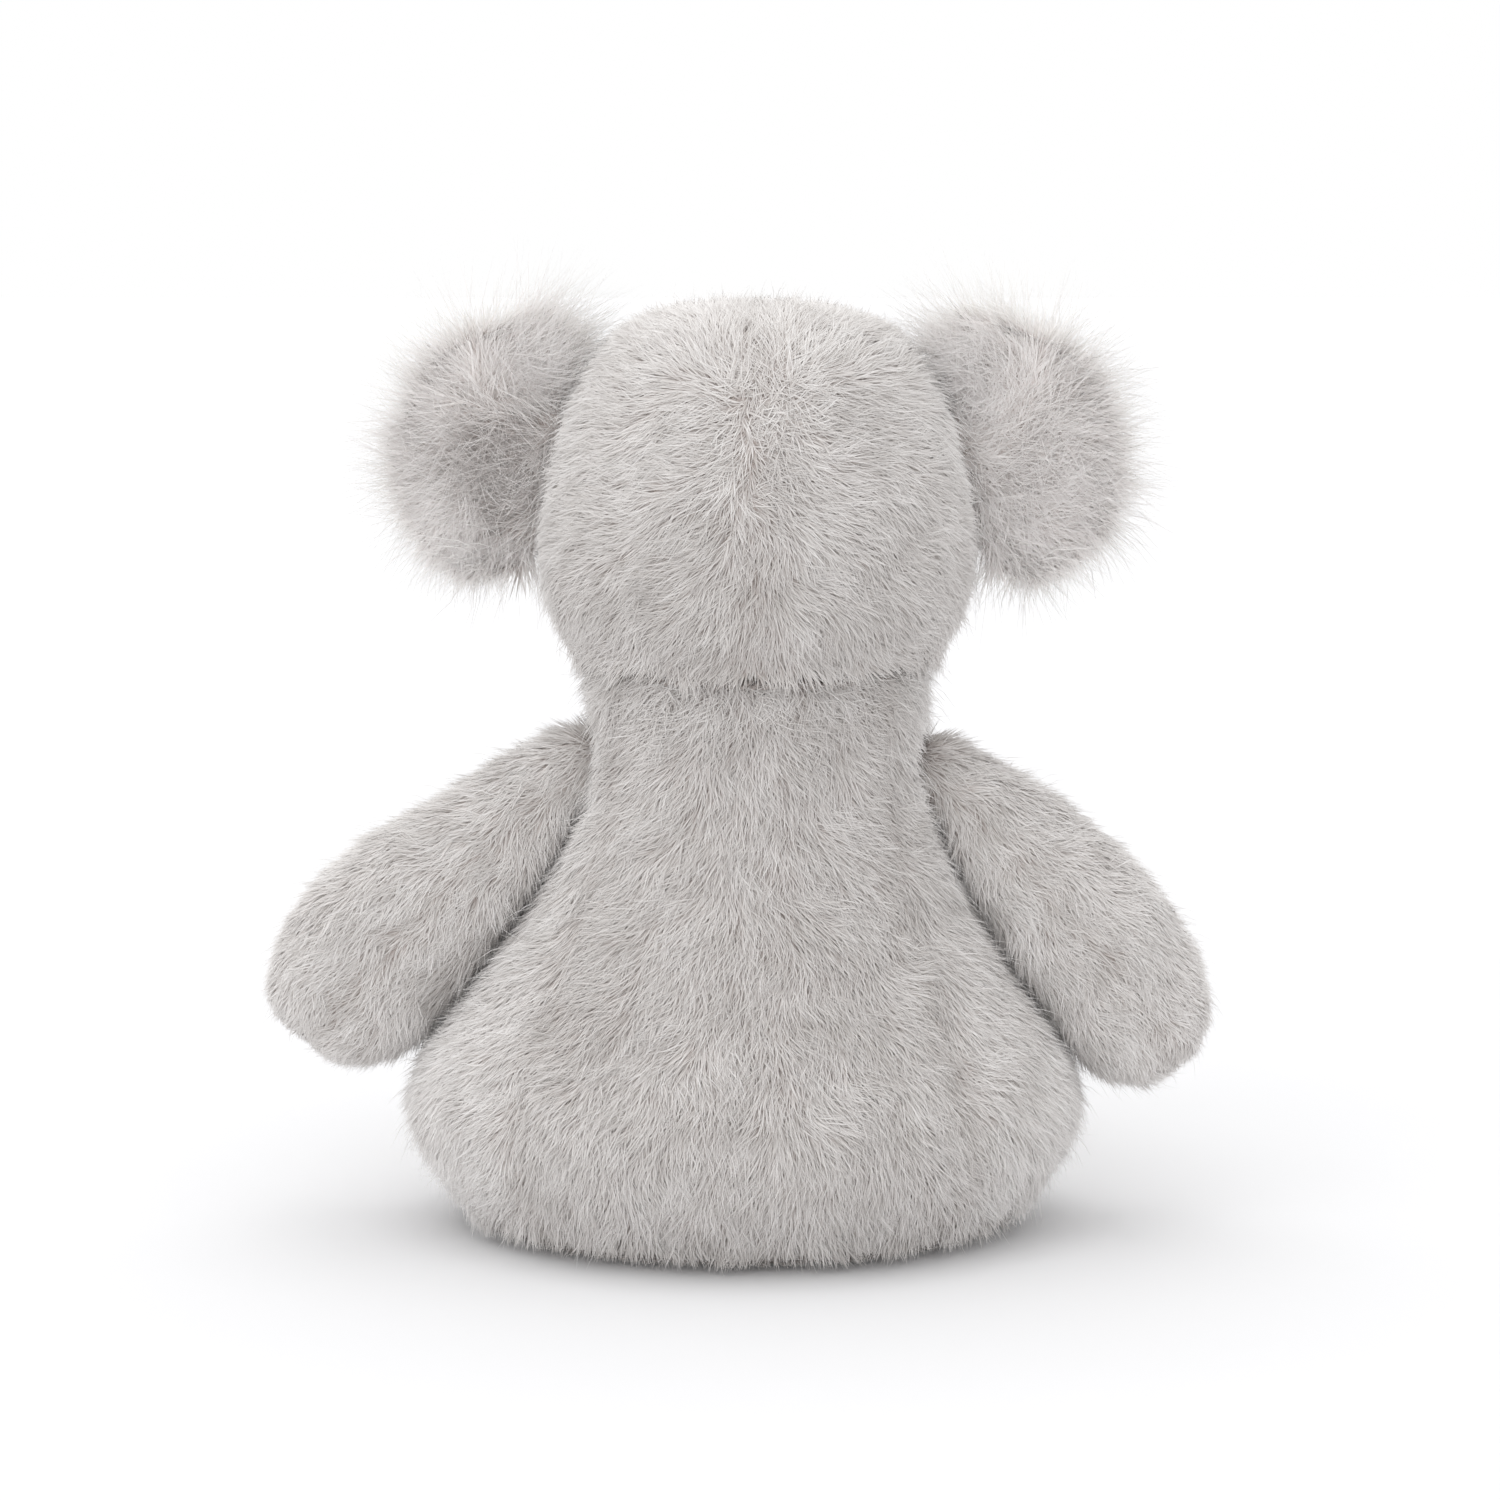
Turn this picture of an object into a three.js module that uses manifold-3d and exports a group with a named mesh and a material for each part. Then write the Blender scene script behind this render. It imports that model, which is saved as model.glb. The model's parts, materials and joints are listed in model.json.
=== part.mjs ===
// A seated koala soft toy of short grey plush, in millimetres.
// +Z is up, the toy faces -Y and its own left side is +X. The origin is the middle of the flat seat.
import * as THREE from "three";
import { mergeVertices } from "three/addons/utils/BufferGeometryUtils.js";
import Module from "manifold-3d";

const wasm = await Module();
wasm.setup();

// Plush and clearances
const skinThickness = 5.5; // woven backing and the pile that lies on it
const backingThickness = 1.6;
const seamGap = 0.3; // between panels that are sewn together
const fillGap = 0.3; // between a skin and what it holds
const jointGap = 0.5; // between a limb and the socket it turns in
const neckGap = 0.6; // between the ball of stuffing in the neck and the head round it
const earGap = 0.8; // between an ear and the head that it folds against

// Torso, half-widths and the heights where they lie
const seatRadius = 52;
const hipRadius = 66;
const hipHeight = 12;
const bellyRadius = 71;
const bellyHeight = 30;
const bellyDepth = 57; // half-depth from front to back at the belly
const waistRadius = 55.5;
const waistHeight = 53;
const chestRadius = 39;
const chestHeight = 80;
const neckRadius = 34.3;
const neckHeight = 103;
const neckLean = -2.6; // the neck and the head sit this far to the toy's right
const baseSeamHeight = 6;
const backSeamAngle = 48; // degrees from the middle of the back
const bellySeamAngle = 128;

// Neck, a gathered seam over a ball of stuffing
const neckSeamHeight = 115.5;
const neckSeamRadius = 35.3;
const neckCordRadius = 1.1;
const neckPivotDrop = 20; // from the seam down to the point that the head nods about

// Head, half-widths and the heights above the neck seam where they lie
const headRimRadius = 38.4;
const jowlRadius = 42.8;
const jowlRise = 8;
const cheekRadius = 46;
const cheekRise = 28;
const cheekDepth = 45; // half-depth from front to back at the cheeks
const templeRadius = 40;
const templeRise = 53;
const crownRadius = 29;
const crownRise = 69;
const pateRadius = 17.5;
const pateRise = 73.2;
const headTopRise = 75.2;
const headForward = 2; // the head's middle lies this far in front of the neck
const faceSeamForward = 7; // from the head's axis to the seam that the ears are sewn into
const muzzleSwell = 6;
const muzzleWidth = 18;
const muzzleRise = 25;

// Ears
const earRise = 41; // middle of the ear above the neck seam
const earHalfHeight = 31;
const earHalfWidth = 23.5;
const earHalfThickness = 7.5;
const earReach = 10.5; // from the fold to the middle of the ear
const earForward = 4; // in front of the head's axis
const earTilt = 12; // degrees that the fold leans towards the crown
const earRootDepth = 1; // the fold lies this far under the side of the head
const earRootRadius = 4;
const earRootHalfLength = 25;
const earPinch = 0.5; // share of the ear's thickness that is left at the fold
const earPinchReach = 14; // from the fold to where the ear has its full thickness

// Face
const noseHalfWidth = 9;
const noseHalfHeight = 12;
const noseReach = 9;
const noseRise = 27;
const noseSink = 3.5; // into the pile of the muzzle
const noseClothThickness = 1.2;
const eyeRadius = 5;
const eyeProud = 2.6; // above the pile
const eyeRimHeight = 1;
const eyeSpread = 18;
const eyeRise = 40;
const shankRadius = 1.9;
const shankLength = 11;
const washerRadius = 6.5;
const washerThickness = 1.8;
const washerDrop = 1.8; // room for the curve of the skin between eye and washer

// Arms, radii and the distances from the shoulder where they lie
const shoulderHeight = 95;
const armRootRadius = 9.5;
const armPinchRadius = 11; // just outside the sewn root
const armPinchReach = 8;
const upperArmRadius = 15;
const upperArmReach = 20;
const foreArmRadius = 18.8;
const foreArmReach = 43;
const handRadius = 18.4;
const handReach = 64;
const armLength = 83.5;
const armHalfDepth = 16.5; // from front to back at the fore arm
const armBend = 20; // degrees that the arm curves down over its length
const armDroopLeft = 36; // degrees below level where the arm leaves the shoulder
const armDroopRight = 41.2;

// Legs, radii and the distances from the hip where they lie
const hipSpread = 33;
const hipProud = 3.5; // the hip's turning point lies this far outside the belly
const legRootRadius = 10.5;
const legPinchRadius = 11.2; // just outside the sewn root
const legPinchReach = 7;
const thighRadius = 16.5;
const thighReach = 16.5;
const calfRadius = 20.2;
const calfReach = 29;
const footRadius = 20.5;
const footReach = 39;
const legLength = 55;
const legSplay = 13;
const soleDepth = 8;
const floorFlat = 0.5; // the foot is pressed flat this deep where it rests

// Pellet pouch in the seat
const pouchHalfWidth = 32;
const pouchHalfDepth = 28;
const pouchHalfHeight = 14;
const pouchClothThickness = 0.8;
const pouchMouthRadius = 5;
const pelletLevel = 8; // top of the pellets above the middle of the pouch

// Facets round and along the forms
const torsoSides = 24;
const headSides = 24;
const limbSides = 14;
const earSides = 16;
const insideSides = 14; // of hollows and stuffing
const limbInsideSides = 8;
const neckSides = 24;
const socketSides = 14;
const smallSides = 12;
const cordSides = 6;
const domeSteps = 4;
const slitSteps = 14; // along a cut that follows a bent arm
const onAxisRadius = 1e-3; // a profile point nearer than this lies on the axis
const farAway = 300; // longer than any piece, for tools that cut right through

const up = new THREE.Vector3(0, 0, 1);
const radians = THREE.MathUtils.degToRad;
const { lerp, smoothstep } = THREE.MathUtils;
const roundEndAngles = [35, 65, 90].map(radians); // rings from the widest to the pole
const rootBallAngles = [90, 45, 0].map(radians); // rings from the pole to the widest

// Plush, cloth, stuffing and hard pieces
const greyPlush = new THREE.MeshStandardMaterial({ color: "#bdb8b5", roughness: 0.95, metalness: 0 });
const palePlush = new THREE.MeshStandardMaterial({ color: "#d9d5d1", roughness: 0.95, metalness: 0 });
const earPlush = new THREE.MeshStandardMaterial({ color: "#b4acaa", roughness: 0.95, metalness: 0 });
const earLining = new THREE.MeshStandardMaterial({ color: "#ebe6e3", roughness: 0.95, metalness: 0 });
const noseVelour = new THREE.MeshStandardMaterial({ color: "#2b2829", roughness: 0.8, metalness: 0 });
const eyePlastic = new THREE.MeshStandardMaterial({ color: "#131211", roughness: 0.15, metalness: 0 });
const washerPlastic = new THREE.MeshStandardMaterial({ color: "#e6e6e2", roughness: 0.5, metalness: 0 });
const stuffing = new THREE.MeshStandardMaterial({ color: "#f3f2ee", roughness: 1, metalness: 0 });
const cord = new THREE.MeshStandardMaterial({ color: "#9a9592", roughness: 0.9, metalness: 0 });
const pouchCotton = new THREE.MeshStandardMaterial({ color: "#dedbd2", roughness: 0.9, metalness: 0 });
const pelletPlastic = new THREE.MeshStandardMaterial({ color: "#cfd3d4", roughness: 0.4, metalness: 0 });

// A closed geometry as a solid that can be cut and joined
function solidFrom(geometry) {
  const bare = new THREE.BufferGeometry();
  bare.setAttribute("position", geometry.getAttribute("position").clone());
  bare.setIndex(geometry.getIndex());
  const merged = mergeVertices(bare);
  const mesh = new wasm.Mesh({
    numProp: 3,
    vertProperties: merged.getAttribute("position").array,
    triVerts: new Uint32Array(merged.getIndex().array),
  });
  return new wasm.Manifold(mesh);
}

// A solid as a geometry
function geometryFrom(solid) {
  const mesh = solid.getMesh();
  const geometry = new THREE.BufferGeometry();
  geometry.setAttribute("position", new THREE.Float32BufferAttribute(mesh.vertProperties, 3));
  geometry.setIndex(Array.from(mesh.triVerts));
  geometry.computeVertexNormals();
  return geometry;
}

// The pieces of a solid that was cut apart, largest first
function cutPieces(solid) {
  return solid.decompose().sort((a, b) => b.volume() - a.volume());
}

function heightOf(solid) {
  const { min, max } = solid.boundingBox();
  return min[2] + max[2];
}

// Adds a piece, modelled in the toy's frame, to the group that carries it
function addPiece(group, name, solid, material) {
  const geometry = geometryFrom(solid).applyMatrix4(group.matrixWorld.clone().invert());
  const piece = new THREE.Mesh(geometry, material);
  piece.name = name;
  group.add(piece);
}

// A group that stands at a turning point, with its own axes
function carrier(parent, position, quaternion) {
  const group = new THREE.Group();
  group.position.copy(position);
  group.quaternion.copy(quaternion);
  parent.add(group);
  group.updateMatrixWorld(true);
  return group;
}

// Moves every point of a geometry by a rule
function reshape(geometry, rule) {
  const positions = geometry.getAttribute("position");
  const point = new THREE.Vector3();
  for (let i = 0; i < positions.count; i += 1) {
    point.fromBufferAttribute(positions, i);
    rule(point);
    positions.setXYZ(i, point.x, point.y, point.z);
  }
  return geometry;
}

// A smooth profile of radius and height through its stations, moved outwards by an offset
function profile(stations, offset, perStation = 2) {
  const curve = new THREE.SplineCurve(stations.map(([radius, height]) => new THREE.Vector2(radius, height)));
  const steps = perStation * (stations.length - 1);
  return Array.from({ length: steps + 1 }, (_, i) => {
    const point = curve.getPoint(i / steps);
    const tangent = curve.getTangent(i / steps);
    return new THREE.Vector2(Math.max(0, point.x + offset * tangent.y), point.y - offset * tangent.x);
  });
}

// A solid of revolution about Z whose profile is closed on the axis
function turnedForm(points, sides) {
  const onAxis = (point) => new THREE.Vector2(0, point.y);
  const closed = [onAxis(points[0]), ...points.filter((point) => point.x > onAxisRadius), onAxis(points.at(-1))];
  return new THREE.LatheGeometry(closed, sides).rotateX(Math.PI / 2);
}

// Stations of a blunt round end
function roundEnd(radius, start, length) {
  return roundEndAngles.map((angle) => [radius * Math.cos(angle), start + length * Math.sin(angle)]);
}

// Stations of the ball at the root of a limb, from its pole to its widest ring
function rootBall(radius) {
  return rootBallAngles.map((angle) => [radius * Math.cos(angle), -radius * Math.sin(angle)]);
}

function ball(centre, radius, sides = socketSides) {
  const sphere = new THREE.SphereGeometry(radius, sides, sides / 2).rotateX(Math.PI / 2);
  return solidFrom(sphere.translate(centre.x, centre.y, centre.z));
}

// A pin along Z from one height to another
function pin(radius, from, to, sides = smallSides) {
  const length = to - from;
  return new THREE.CylinderGeometry(radius, radius, length, sides)
    .rotateX(Math.PI / 2)
    .translate(0, 0, from + length / 2);
}

// An oval pillow with its own half-lengths
function pillow(halfX, halfY, halfZ, sides) {
  return new THREE.SphereGeometry(1, sides, sides / 2).scale(halfX, halfY, halfZ);
}

// The side of a vertical plane through the torso's axis that holds an angle from the back's middle
function wedgeSide(solid, degrees, side, beyond) {
  const angle = radians(degrees);
  const normal = [side * Math.cos(angle), -Math.sin(angle), 0];
  return beyond
    ? solid.trimByPlane(normal, seamGap / 2)
    : solid.trimByPlane(normal.map((part) => -part), seamGap / 2);
}

const toy = new THREE.Group();

// Torso form
const torsoTop = neckSeamHeight - neckCordRadius - seamGap;
const neckPivot = new THREE.Vector3(neckLean, 0, neckSeamHeight - neckPivotDrop);
const neckBallRadius = Math.hypot(neckSeamRadius, neckPivotDrop);
const torsoStations = [
  [seatRadius, 0],
  [hipRadius, hipHeight],
  [bellyRadius, bellyHeight],
  [waistRadius, waistHeight],
  [chestRadius, chestHeight],
  [neckRadius, neckHeight],
  [neckSeamRadius, torsoTop],
];

// How far a height has passed from the belly, 0, to the neck, 1
const torsoRise = (height) => smoothstep(height, bellyHeight, neckHeight);

function shapeTorso(point) {
  const rise = torsoRise(point.z);
  point.x += neckLean * rise;
  point.y *= lerp(bellyDepth / bellyRadius, 1, rise);
}

function torsoForm(offset, sides = torsoSides) {
  return solidFrom(reshape(turnedForm(profile(torsoStations, offset), sides), shapeTorso));
}

// The space inside the skin, closed above by further points of its profile
function torsoInside(offset, closing) {
  const points = profile(torsoStations, offset, 1);
  return solidFrom(reshape(turnedForm([...points, ...closing(points.at(-1).x)], insideSides), shapeTorso));
}

function radiusAt(stations, height) {
  const points = profile(stations, 0);
  const next = Math.max(1, points.findIndex((point) => point.y >= height));
  const share = (height - points[next - 1].y) / (points[next].y - points[next - 1].y);
  return lerp(points[next - 1].x, points[next].x, share);
}

// Head form
const headBottom = neckSeamHeight + neckCordRadius + seamGap;
const headStations = [
  [headRimRadius, headBottom],
  [jowlRadius, neckSeamHeight + jowlRise],
  [cheekRadius, neckSeamHeight + cheekRise],
  [templeRadius, neckSeamHeight + templeRise],
  [crownRadius, neckSeamHeight + crownRise],
  [pateRadius, neckSeamHeight + pateRise],
  [0, neckSeamHeight + headTopRise],
];

function shapeHead(point) {
  const rise = smoothstep(point.z, headBottom, neckSeamHeight + cheekRise);
  const above = (point.z - neckSeamHeight - muzzleRise) / muzzleWidth;
  const across = point.x / muzzleWidth;
  const front = smoothstep(-point.y, 0, cheekDepth);
  const swell = muzzleSwell * front * Math.exp(-(above * above + across * across));
  point.x += neckLean;
  point.y = point.y * lerp(1, cheekDepth / cheekRadius, rise) - headForward * rise - swell;
}

function headForm(offset, sides = headSides) {
  return solidFrom(reshape(turnedForm(profile(headStations, offset), sides), shapeHead));
}

// A point on the front of the head, by its place across and its height above the neck seam
function facePoint(across, rise) {
  const height = neckSeamHeight + rise;
  const radius = radiusAt(headStations, height);
  const point = new THREE.Vector3(across, -Math.sqrt(radius * radius - across * across), height);
  shapeHead(point);
  return point;
}

// A carrier on the face whose Z points straight out of it
function faceCarrier(across, rise) {
  const step = 1;
  const point = facePoint(across, rise);
  const sideways = facePoint(across + step, rise).sub(facePoint(across - step, rise));
  const upwards = facePoint(across, rise + step).sub(facePoint(across, rise - step));
  const out = sideways.cross(upwards).normalize();
  return carrier(toy, point, new THREE.Quaternion().setFromUnitVectors(up, out));
}

// Arms
const armStations = [
  ...rootBall(armRootRadius),
  [armPinchRadius, armPinchReach],
  [upperArmRadius, upperArmReach],
  [foreArmRadius, foreArmReach],
  [handRadius, handReach],
  ...roundEnd(handRadius, handReach, armLength - handReach),
];

// Flattens an arm from front to back and bends it down along an arc
function shapeArm(side) {
  const curvature = radians(armBend) / armLength;
  return (point) => {
    const depth = lerp(1, armHalfDepth / foreArmRadius, smoothstep(point.z, 0, foreArmReach));
    const bend = curvature * Math.max(0, point.z);
    const along = Math.min(0, point.z) + Math.sin(bend) / curvature;
    const inwards = side * point.x;
    point.x = side * ((1 - Math.cos(bend)) / curvature + inwards * Math.cos(bend));
    point.y *= depth;
    point.z = along - inwards * Math.sin(bend);
  };
}

// Limbs that turn in a socket: their carrier, form and what lies inside the skin
function armOf(side, droop) {
  const across = radiusAt(torsoStations, shoulderHeight);
  const lean = neckLean * torsoRise(shoulderHeight);
  const pivot = new THREE.Vector3(lean + side * across, 0, shoulderHeight);
  const turn = new THREE.Quaternion().setFromAxisAngle(new THREE.Vector3(0, 1, 0), side * radians(90 + droop));
  const group = carrier(toy, pivot, turn);
  const place = (geometry) => solidFrom(reshape(geometry, shapeArm(side)).applyMatrix4(group.matrixWorld));
  return {
    group,
    pivot,
    place,
    rootRadius: armRootRadius,
    form: (offset, sides, perStation) => place(turnedForm(profile(armStations, offset, perStation), sides)),
  };
}

// Legs
const legStations = [
  ...rootBall(legRootRadius),
  [legPinchRadius, legPinchReach],
  [thighRadius, thighReach],
  [calfRadius, calfReach],
  [footRadius, footReach],
  ...roundEnd(footRadius, footReach, legLength - footReach),
];

function legOf(side) {
  const height = footRadius - floorFlat;
  const radius = radiusAt(torsoStations, height);
  const frontAtHip = (bellyDepth / bellyRadius) * Math.sqrt(radius * radius - hipSpread * hipSpread);
  const pivot = new THREE.Vector3(side * hipSpread, -hipProud - frontAtHip, height);
  const splay = radians(legSplay);
  const forward = new THREE.Vector3(side * Math.sin(splay), -Math.cos(splay), 0);
  const group = carrier(toy, pivot, new THREE.Quaternion().setFromUnitVectors(up, forward));
  const place = (geometry) => solidFrom(geometry.applyMatrix4(group.matrixWorld));
  return {
    group,
    pivot,
    place,
    rootRadius: legRootRadius,
    forward,
    form: (offset, sides, perStation) => place(turnedForm(profile(legStations, offset, perStation), sides)),
  };
}

// A limb's skin, open at its root, and its stuffing, both cut by the torso outside the socket
function limbSkin(limb, torsoGrown) {
  const kept = torsoGrown.subtract(ball(limb.pivot, limb.rootRadius));
  const mouth = limb.place(pin(limb.rootRadius - skinThickness, -2 * limb.rootRadius, 0));
  const hollow = limb.form(-skinThickness, limbInsideSides, 1).add(mouth);
  return {
    skin: limb.form(0, limbSides, 1).subtract(kept).subtract(hollow),
    fill: limb.form(-skinThickness - fillGap, limbInsideSides, 1).subtract(kept),
  };
}

const arms = {
  left: armOf(1, armDroopLeft),
  right: armOf(-1, armDroopRight),
};
const legs = {
  left: legOf(1),
  right: legOf(-1),
};
const limbs = [arms.left, arms.right, legs.left, legs.right];
const torso = torsoForm(0);
const torsoGrown = torsoForm(jointGap);
const sockets = limbs.map((limb) => ball(limb.pivot, limb.rootRadius + jointGap));
const limbSpace = sockets.reduce((room, socket) => room.add(socket));

// Torso skin, cut into panels along its seams
const torsoHollow = torsoInside(-skinThickness, (radius) => [new THREE.Vector2(radius, farAway)]);
const torsoSkin = torso.subtract(torsoHollow).subtract(limbSpace);
const basePanel = torsoSkin.trimByPlane([0, 0, -1], seamGap / 2 - baseSeamHeight);
const torsoWall = torsoSkin.trimByPlane([0, 0, 1], baseSeamHeight + seamGap / 2);
const betweenPlanes = (solid, degrees, beyond) =>
  wedgeSide(wedgeSide(solid, degrees, 1, beyond), degrees, -1, beyond);
const flank = (side) => wedgeSide(wedgeSide(torsoWall, backSeamAngle, side, true), bellySeamAngle, side, false);

addPiece(toy, "back_panel", betweenPlanes(torsoWall, backSeamAngle, false), greyPlush);
addPiece(toy, "belly_panel", betweenPlanes(torsoWall, bellySeamAngle, true), palePlush);
addPiece(toy, "flank_left", cutPieces(flank(1))[0], greyPlush);
addPiece(toy, "flank_right", cutPieces(flank(-1))[0], greyPlush);
addPiece(toy, "base_panel", basePanel, greyPlush);

// Pellet pouch, resting on the base panel, and the torso's stuffing round it
const seatInside = profile(torsoStations, -skinThickness)[0].y;
const pouchHeight = seatInside + fillGap + pouchHalfHeight;
function pouchForm(offset) {
  const form = pillow(pouchHalfWidth + offset, pouchHalfDepth + offset, pouchHalfHeight + offset, limbSides);
  return solidFrom(form.translate(0, 0, pouchHeight));
}
const pouchMouth = solidFrom(pin(pouchMouthRadius, pouchHeight, pouchHeight + pouchHalfHeight + fillGap));
const pouchHollow = pouchForm(-pouchClothThickness);
const pellets = pouchForm(-pouchClothThickness - fillGap).trimByPlane([0, 0, -1], -pouchHeight - pelletLevel);
const pouchPocket = pouchForm(fillGap).add(solidFrom(pin(pouchHalfDepth, 0, pouchHeight, limbSides)));
const neckDome = (radius) => {
  const start = Math.acos(radius / neckBallRadius);
  return Array.from({ length: domeSteps + 1 }, (_, i) => {
    const angle = lerp(start, Math.PI / 2, i / domeSteps);
    const height = neckPivot.z + neckBallRadius * Math.sin(angle);
    return new THREE.Vector2(neckBallRadius * Math.cos(angle), height);
  });
};
const torsoFill = torsoInside(-skinThickness - fillGap, neckDome);

addPiece(toy, "pellet_pouch", pouchForm(0).subtract(pouchHollow).subtract(pouchMouth), pouchCotton);
addPiece(toy, "pellets", pellets, pelletPlastic);
addPiece(toy, "torso_fill", torsoFill.subtract(limbSpace).subtract(pouchPocket), stuffing);

// Neck cord, drawn round the ball of stuffing in the head's opening
const cordReach = neckBallRadius + neckGap + neckCordRadius;
const cordRing = Math.sqrt(cordReach * cordReach - neckPivotDrop * neckPivotDrop);
const neckCord = new THREE.TorusGeometry(cordRing, neckCordRadius, cordSides, neckSides);
const neckSeam = new THREE.Mesh(neckCord, cord);
neckSeam.name = "neck_seam";
neckSeam.position.set(neckLean, 0, neckSeamHeight);
toy.add(neckSeam);

// Draws an ear in towards the fold that it is sewn along
function shapeEar(side) {
  return (point) => {
    point.y *= lerp(earPinch, 1, smoothstep(side * point.x, 0, earPinchReach));
  };
}

// Ears, in a carrier whose Z is the fold and whose X points across the head
function earOf(side) {
  const across = radiusAt(headStations, neckSeamHeight + earRise) - earRootDepth;
  const fold = new THREE.Vector3(neckLean + side * across, -earForward, neckSeamHeight + earRise);
  const turn = new THREE.Quaternion().setFromAxisAngle(new THREE.Vector3(0, 1, 0), -side * radians(earTilt));
  const group = carrier(toy, fold, turn);
  const place = (geometry) => solidFrom(geometry.applyMatrix4(group.matrixWorld));
  return {
    group,
    fold,
    disc: (offset) => {
      const form = pillow(earHalfWidth + offset, earHalfThickness + offset, earHalfHeight + offset, earSides);
      return place(reshape(form.translate(side * earReach, 0, 0), shapeEar(side)));
    },
    root: (offset) => {
      const form = pillow(earRootRadius + offset, earRootHalfLength + offset, earRootRadius + offset, smallSides);
      return place(form.rotateX(Math.PI / 2));
    },
  };
}

const ears = { left: earOf(1), right: earOf(-1) };
const head = headForm(0);
const headGrown = headForm(earGap);
const headSocket = ball(neckPivot, neckBallRadius + neckGap, neckSides);
const earSpace = ears.left.root(earGap).add(ears.right.root(earGap));

for (const [side, ear] of Object.entries(ears)) {
  const layers = ear.disc(0).subtract(headGrown).add(ear.root(0));
  const middle = -ear.fold.y;
  const frontLayer = layers.trimByPlane([0, -1, 0], middle + seamGap / 2);
  const backLayer = layers.trimByPlane([0, 1, 0], seamGap / 2 - middle);
  addPiece(ear.group, `ear_${side}_back`, cutPieces(backLayer)[0], earPlush);
  addPiece(ear.group, `ear_${side}_front`, cutPieces(frontLayer)[0], earLining);
}

// Safety eyes: a dome seated on the backing, its shank through the skin, and a washer behind
const eyeSeat = skinThickness - backingThickness;
const shankEnd = -eyeSeat - shankLength;
const washerTop = -skinThickness - washerDrop;
const eyeProfile = [
  [shankRadius, shankEnd],
  [shankRadius, -eyeSeat],
  [eyeRadius, -eyeSeat],
  [eyeRadius, eyeRimHeight - eyeSeat],
  ...roundEnd(eyeRadius, eyeRimHeight - eyeSeat, eyeSeat - eyeRimHeight + eyeProud),
].map(([radius, height]) => new THREE.Vector2(radius, height));
const washerProfile = [
  [shankRadius + fillGap, washerTop - washerThickness],
  [washerRadius, washerTop - washerThickness],
  [washerRadius, washerTop],
  [shankRadius + fillGap, washerTop],
  [shankRadius + fillGap, washerTop - washerThickness],
].map(([radius, height]) => new THREE.Vector2(radius, height));
const eyeRecess = pin(eyeRadius + fillGap, -eyeSeat - seamGap, skinThickness);
const eyeHole = pin(shankRadius + fillGap, shankEnd, 0);
const washerRoom = pin(washerRadius + fillGap, shankEnd - fillGap, -eyeSeat);
const eyes = { left: faceCarrier(eyeSpread, eyeRise), right: faceCarrier(-eyeSpread, eyeRise) };
const onFace = (group, geometry) => solidFrom(geometry.clone().applyMatrix4(group.matrixWorld));

for (const [side, group] of Object.entries(eyes)) {
  const washer = new THREE.LatheGeometry(washerProfile, smallSides).rotateX(Math.PI / 2);
  addPiece(group, `eye_${side}`, onFace(group, turnedForm(eyeProfile, limbSides)), eyePlastic);
  addPiece(group, `eye_washer_${side}`, onFace(group, washer), washerPlastic);
}

// Nose, a padded oval of velour let into the pile of the muzzle
const nose = faceCarrier(0, noseRise);
function noseForm(offset) {
  const form = pillow(noseHalfWidth + offset, noseHalfHeight + offset, noseReach + offset, limbSides);
  return solidFrom(form.translate(0, 0, -noseSink)).trimByPlane([0, 0, 1], -noseSink);
}
const noseCover = noseForm(0).subtract(noseForm(-noseClothThickness));
const nosePadding = noseForm(-noseClothThickness - fillGap);
const noseRecess = pin(1, -noseSink - seamGap, noseReach, limbSides);
noseRecess.scale(noseHalfWidth + fillGap, noseHalfHeight + fillGap, 1);
addPiece(nose, "nose_cover", onFace(nose, geometryFrom(noseCover)), noseVelour);
addPiece(nose, "nose_padding", onFace(nose, geometryFrom(nosePadding)), stuffing);

// Head skin, cut into a face and two back halves, and the stuffing inside it
const eyeGroups = Object.values(eyes);
const eyeRooms = eyeGroups.map((group) => onFace(group, eyeRecess).add(onFace(group, eyeHole)));
const washerRooms = eyeGroups.map((group) => onFace(group, washerRoom));
const faceRoom = eyeRooms.reduce((room, space) => room.add(space), onFace(nose, noseRecess));
const fillRoom = washerRooms.reduce((room, space) => room.add(space), earSpace);
const headSkin = head
  .subtract(headForm(-skinThickness, insideSides))
  .subtract(headSocket)
  .subtract(earSpace)
  .subtract(faceRoom);
const headFill = headForm(-skinThickness - fillGap, insideSides).subtract(headSocket).subtract(fillRoom);
const facePanel = headSkin.trimByPlane([0, -1, 0], faceSeamForward + seamGap / 2);
const headBack = headSkin.trimByPlane([0, 1, 0], seamGap / 2 - faceSeamForward);
const headBackLeft = headBack.trimByPlane([1, 0, 0], neckLean + seamGap / 2);
const headBackRight = headBack.trimByPlane([-1, 0, 0], seamGap / 2 - neckLean);

addPiece(toy, "face_panel", cutPieces(facePanel)[0], greyPlush);
addPiece(toy, "head_back_left", cutPieces(headBackLeft)[0], greyPlush);
addPiece(toy, "head_back_right", cutPieces(headBackRight)[0], greyPlush);
addPiece(toy, "head_fill", cutPieces(headFill)[0], stuffing);

// Arms, each of two panels sewn along the middle of the arm
for (const [side, arm] of Object.entries(arms)) {
  const { skin, fill } = limbSkin(arm, torsoGrown);
  const slit = new THREE.BoxGeometry(seamGap, farAway, farAway, 1, 1, slitSteps);
  const panels = cutPieces(skin.subtract(arm.place(slit))).slice(0, 2);
  const [inner, outer] = panels.sort((a, b) => heightOf(a) - heightOf(b));
  addPiece(arm.group, `arm_${side}_outer`, outer, greyPlush);
  addPiece(arm.group, `arm_${side}_inner`, inner, greyPlush);
  addPiece(arm.group, `arm_${side}_fill`, cutPieces(fill)[0], stuffing);
}

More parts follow.
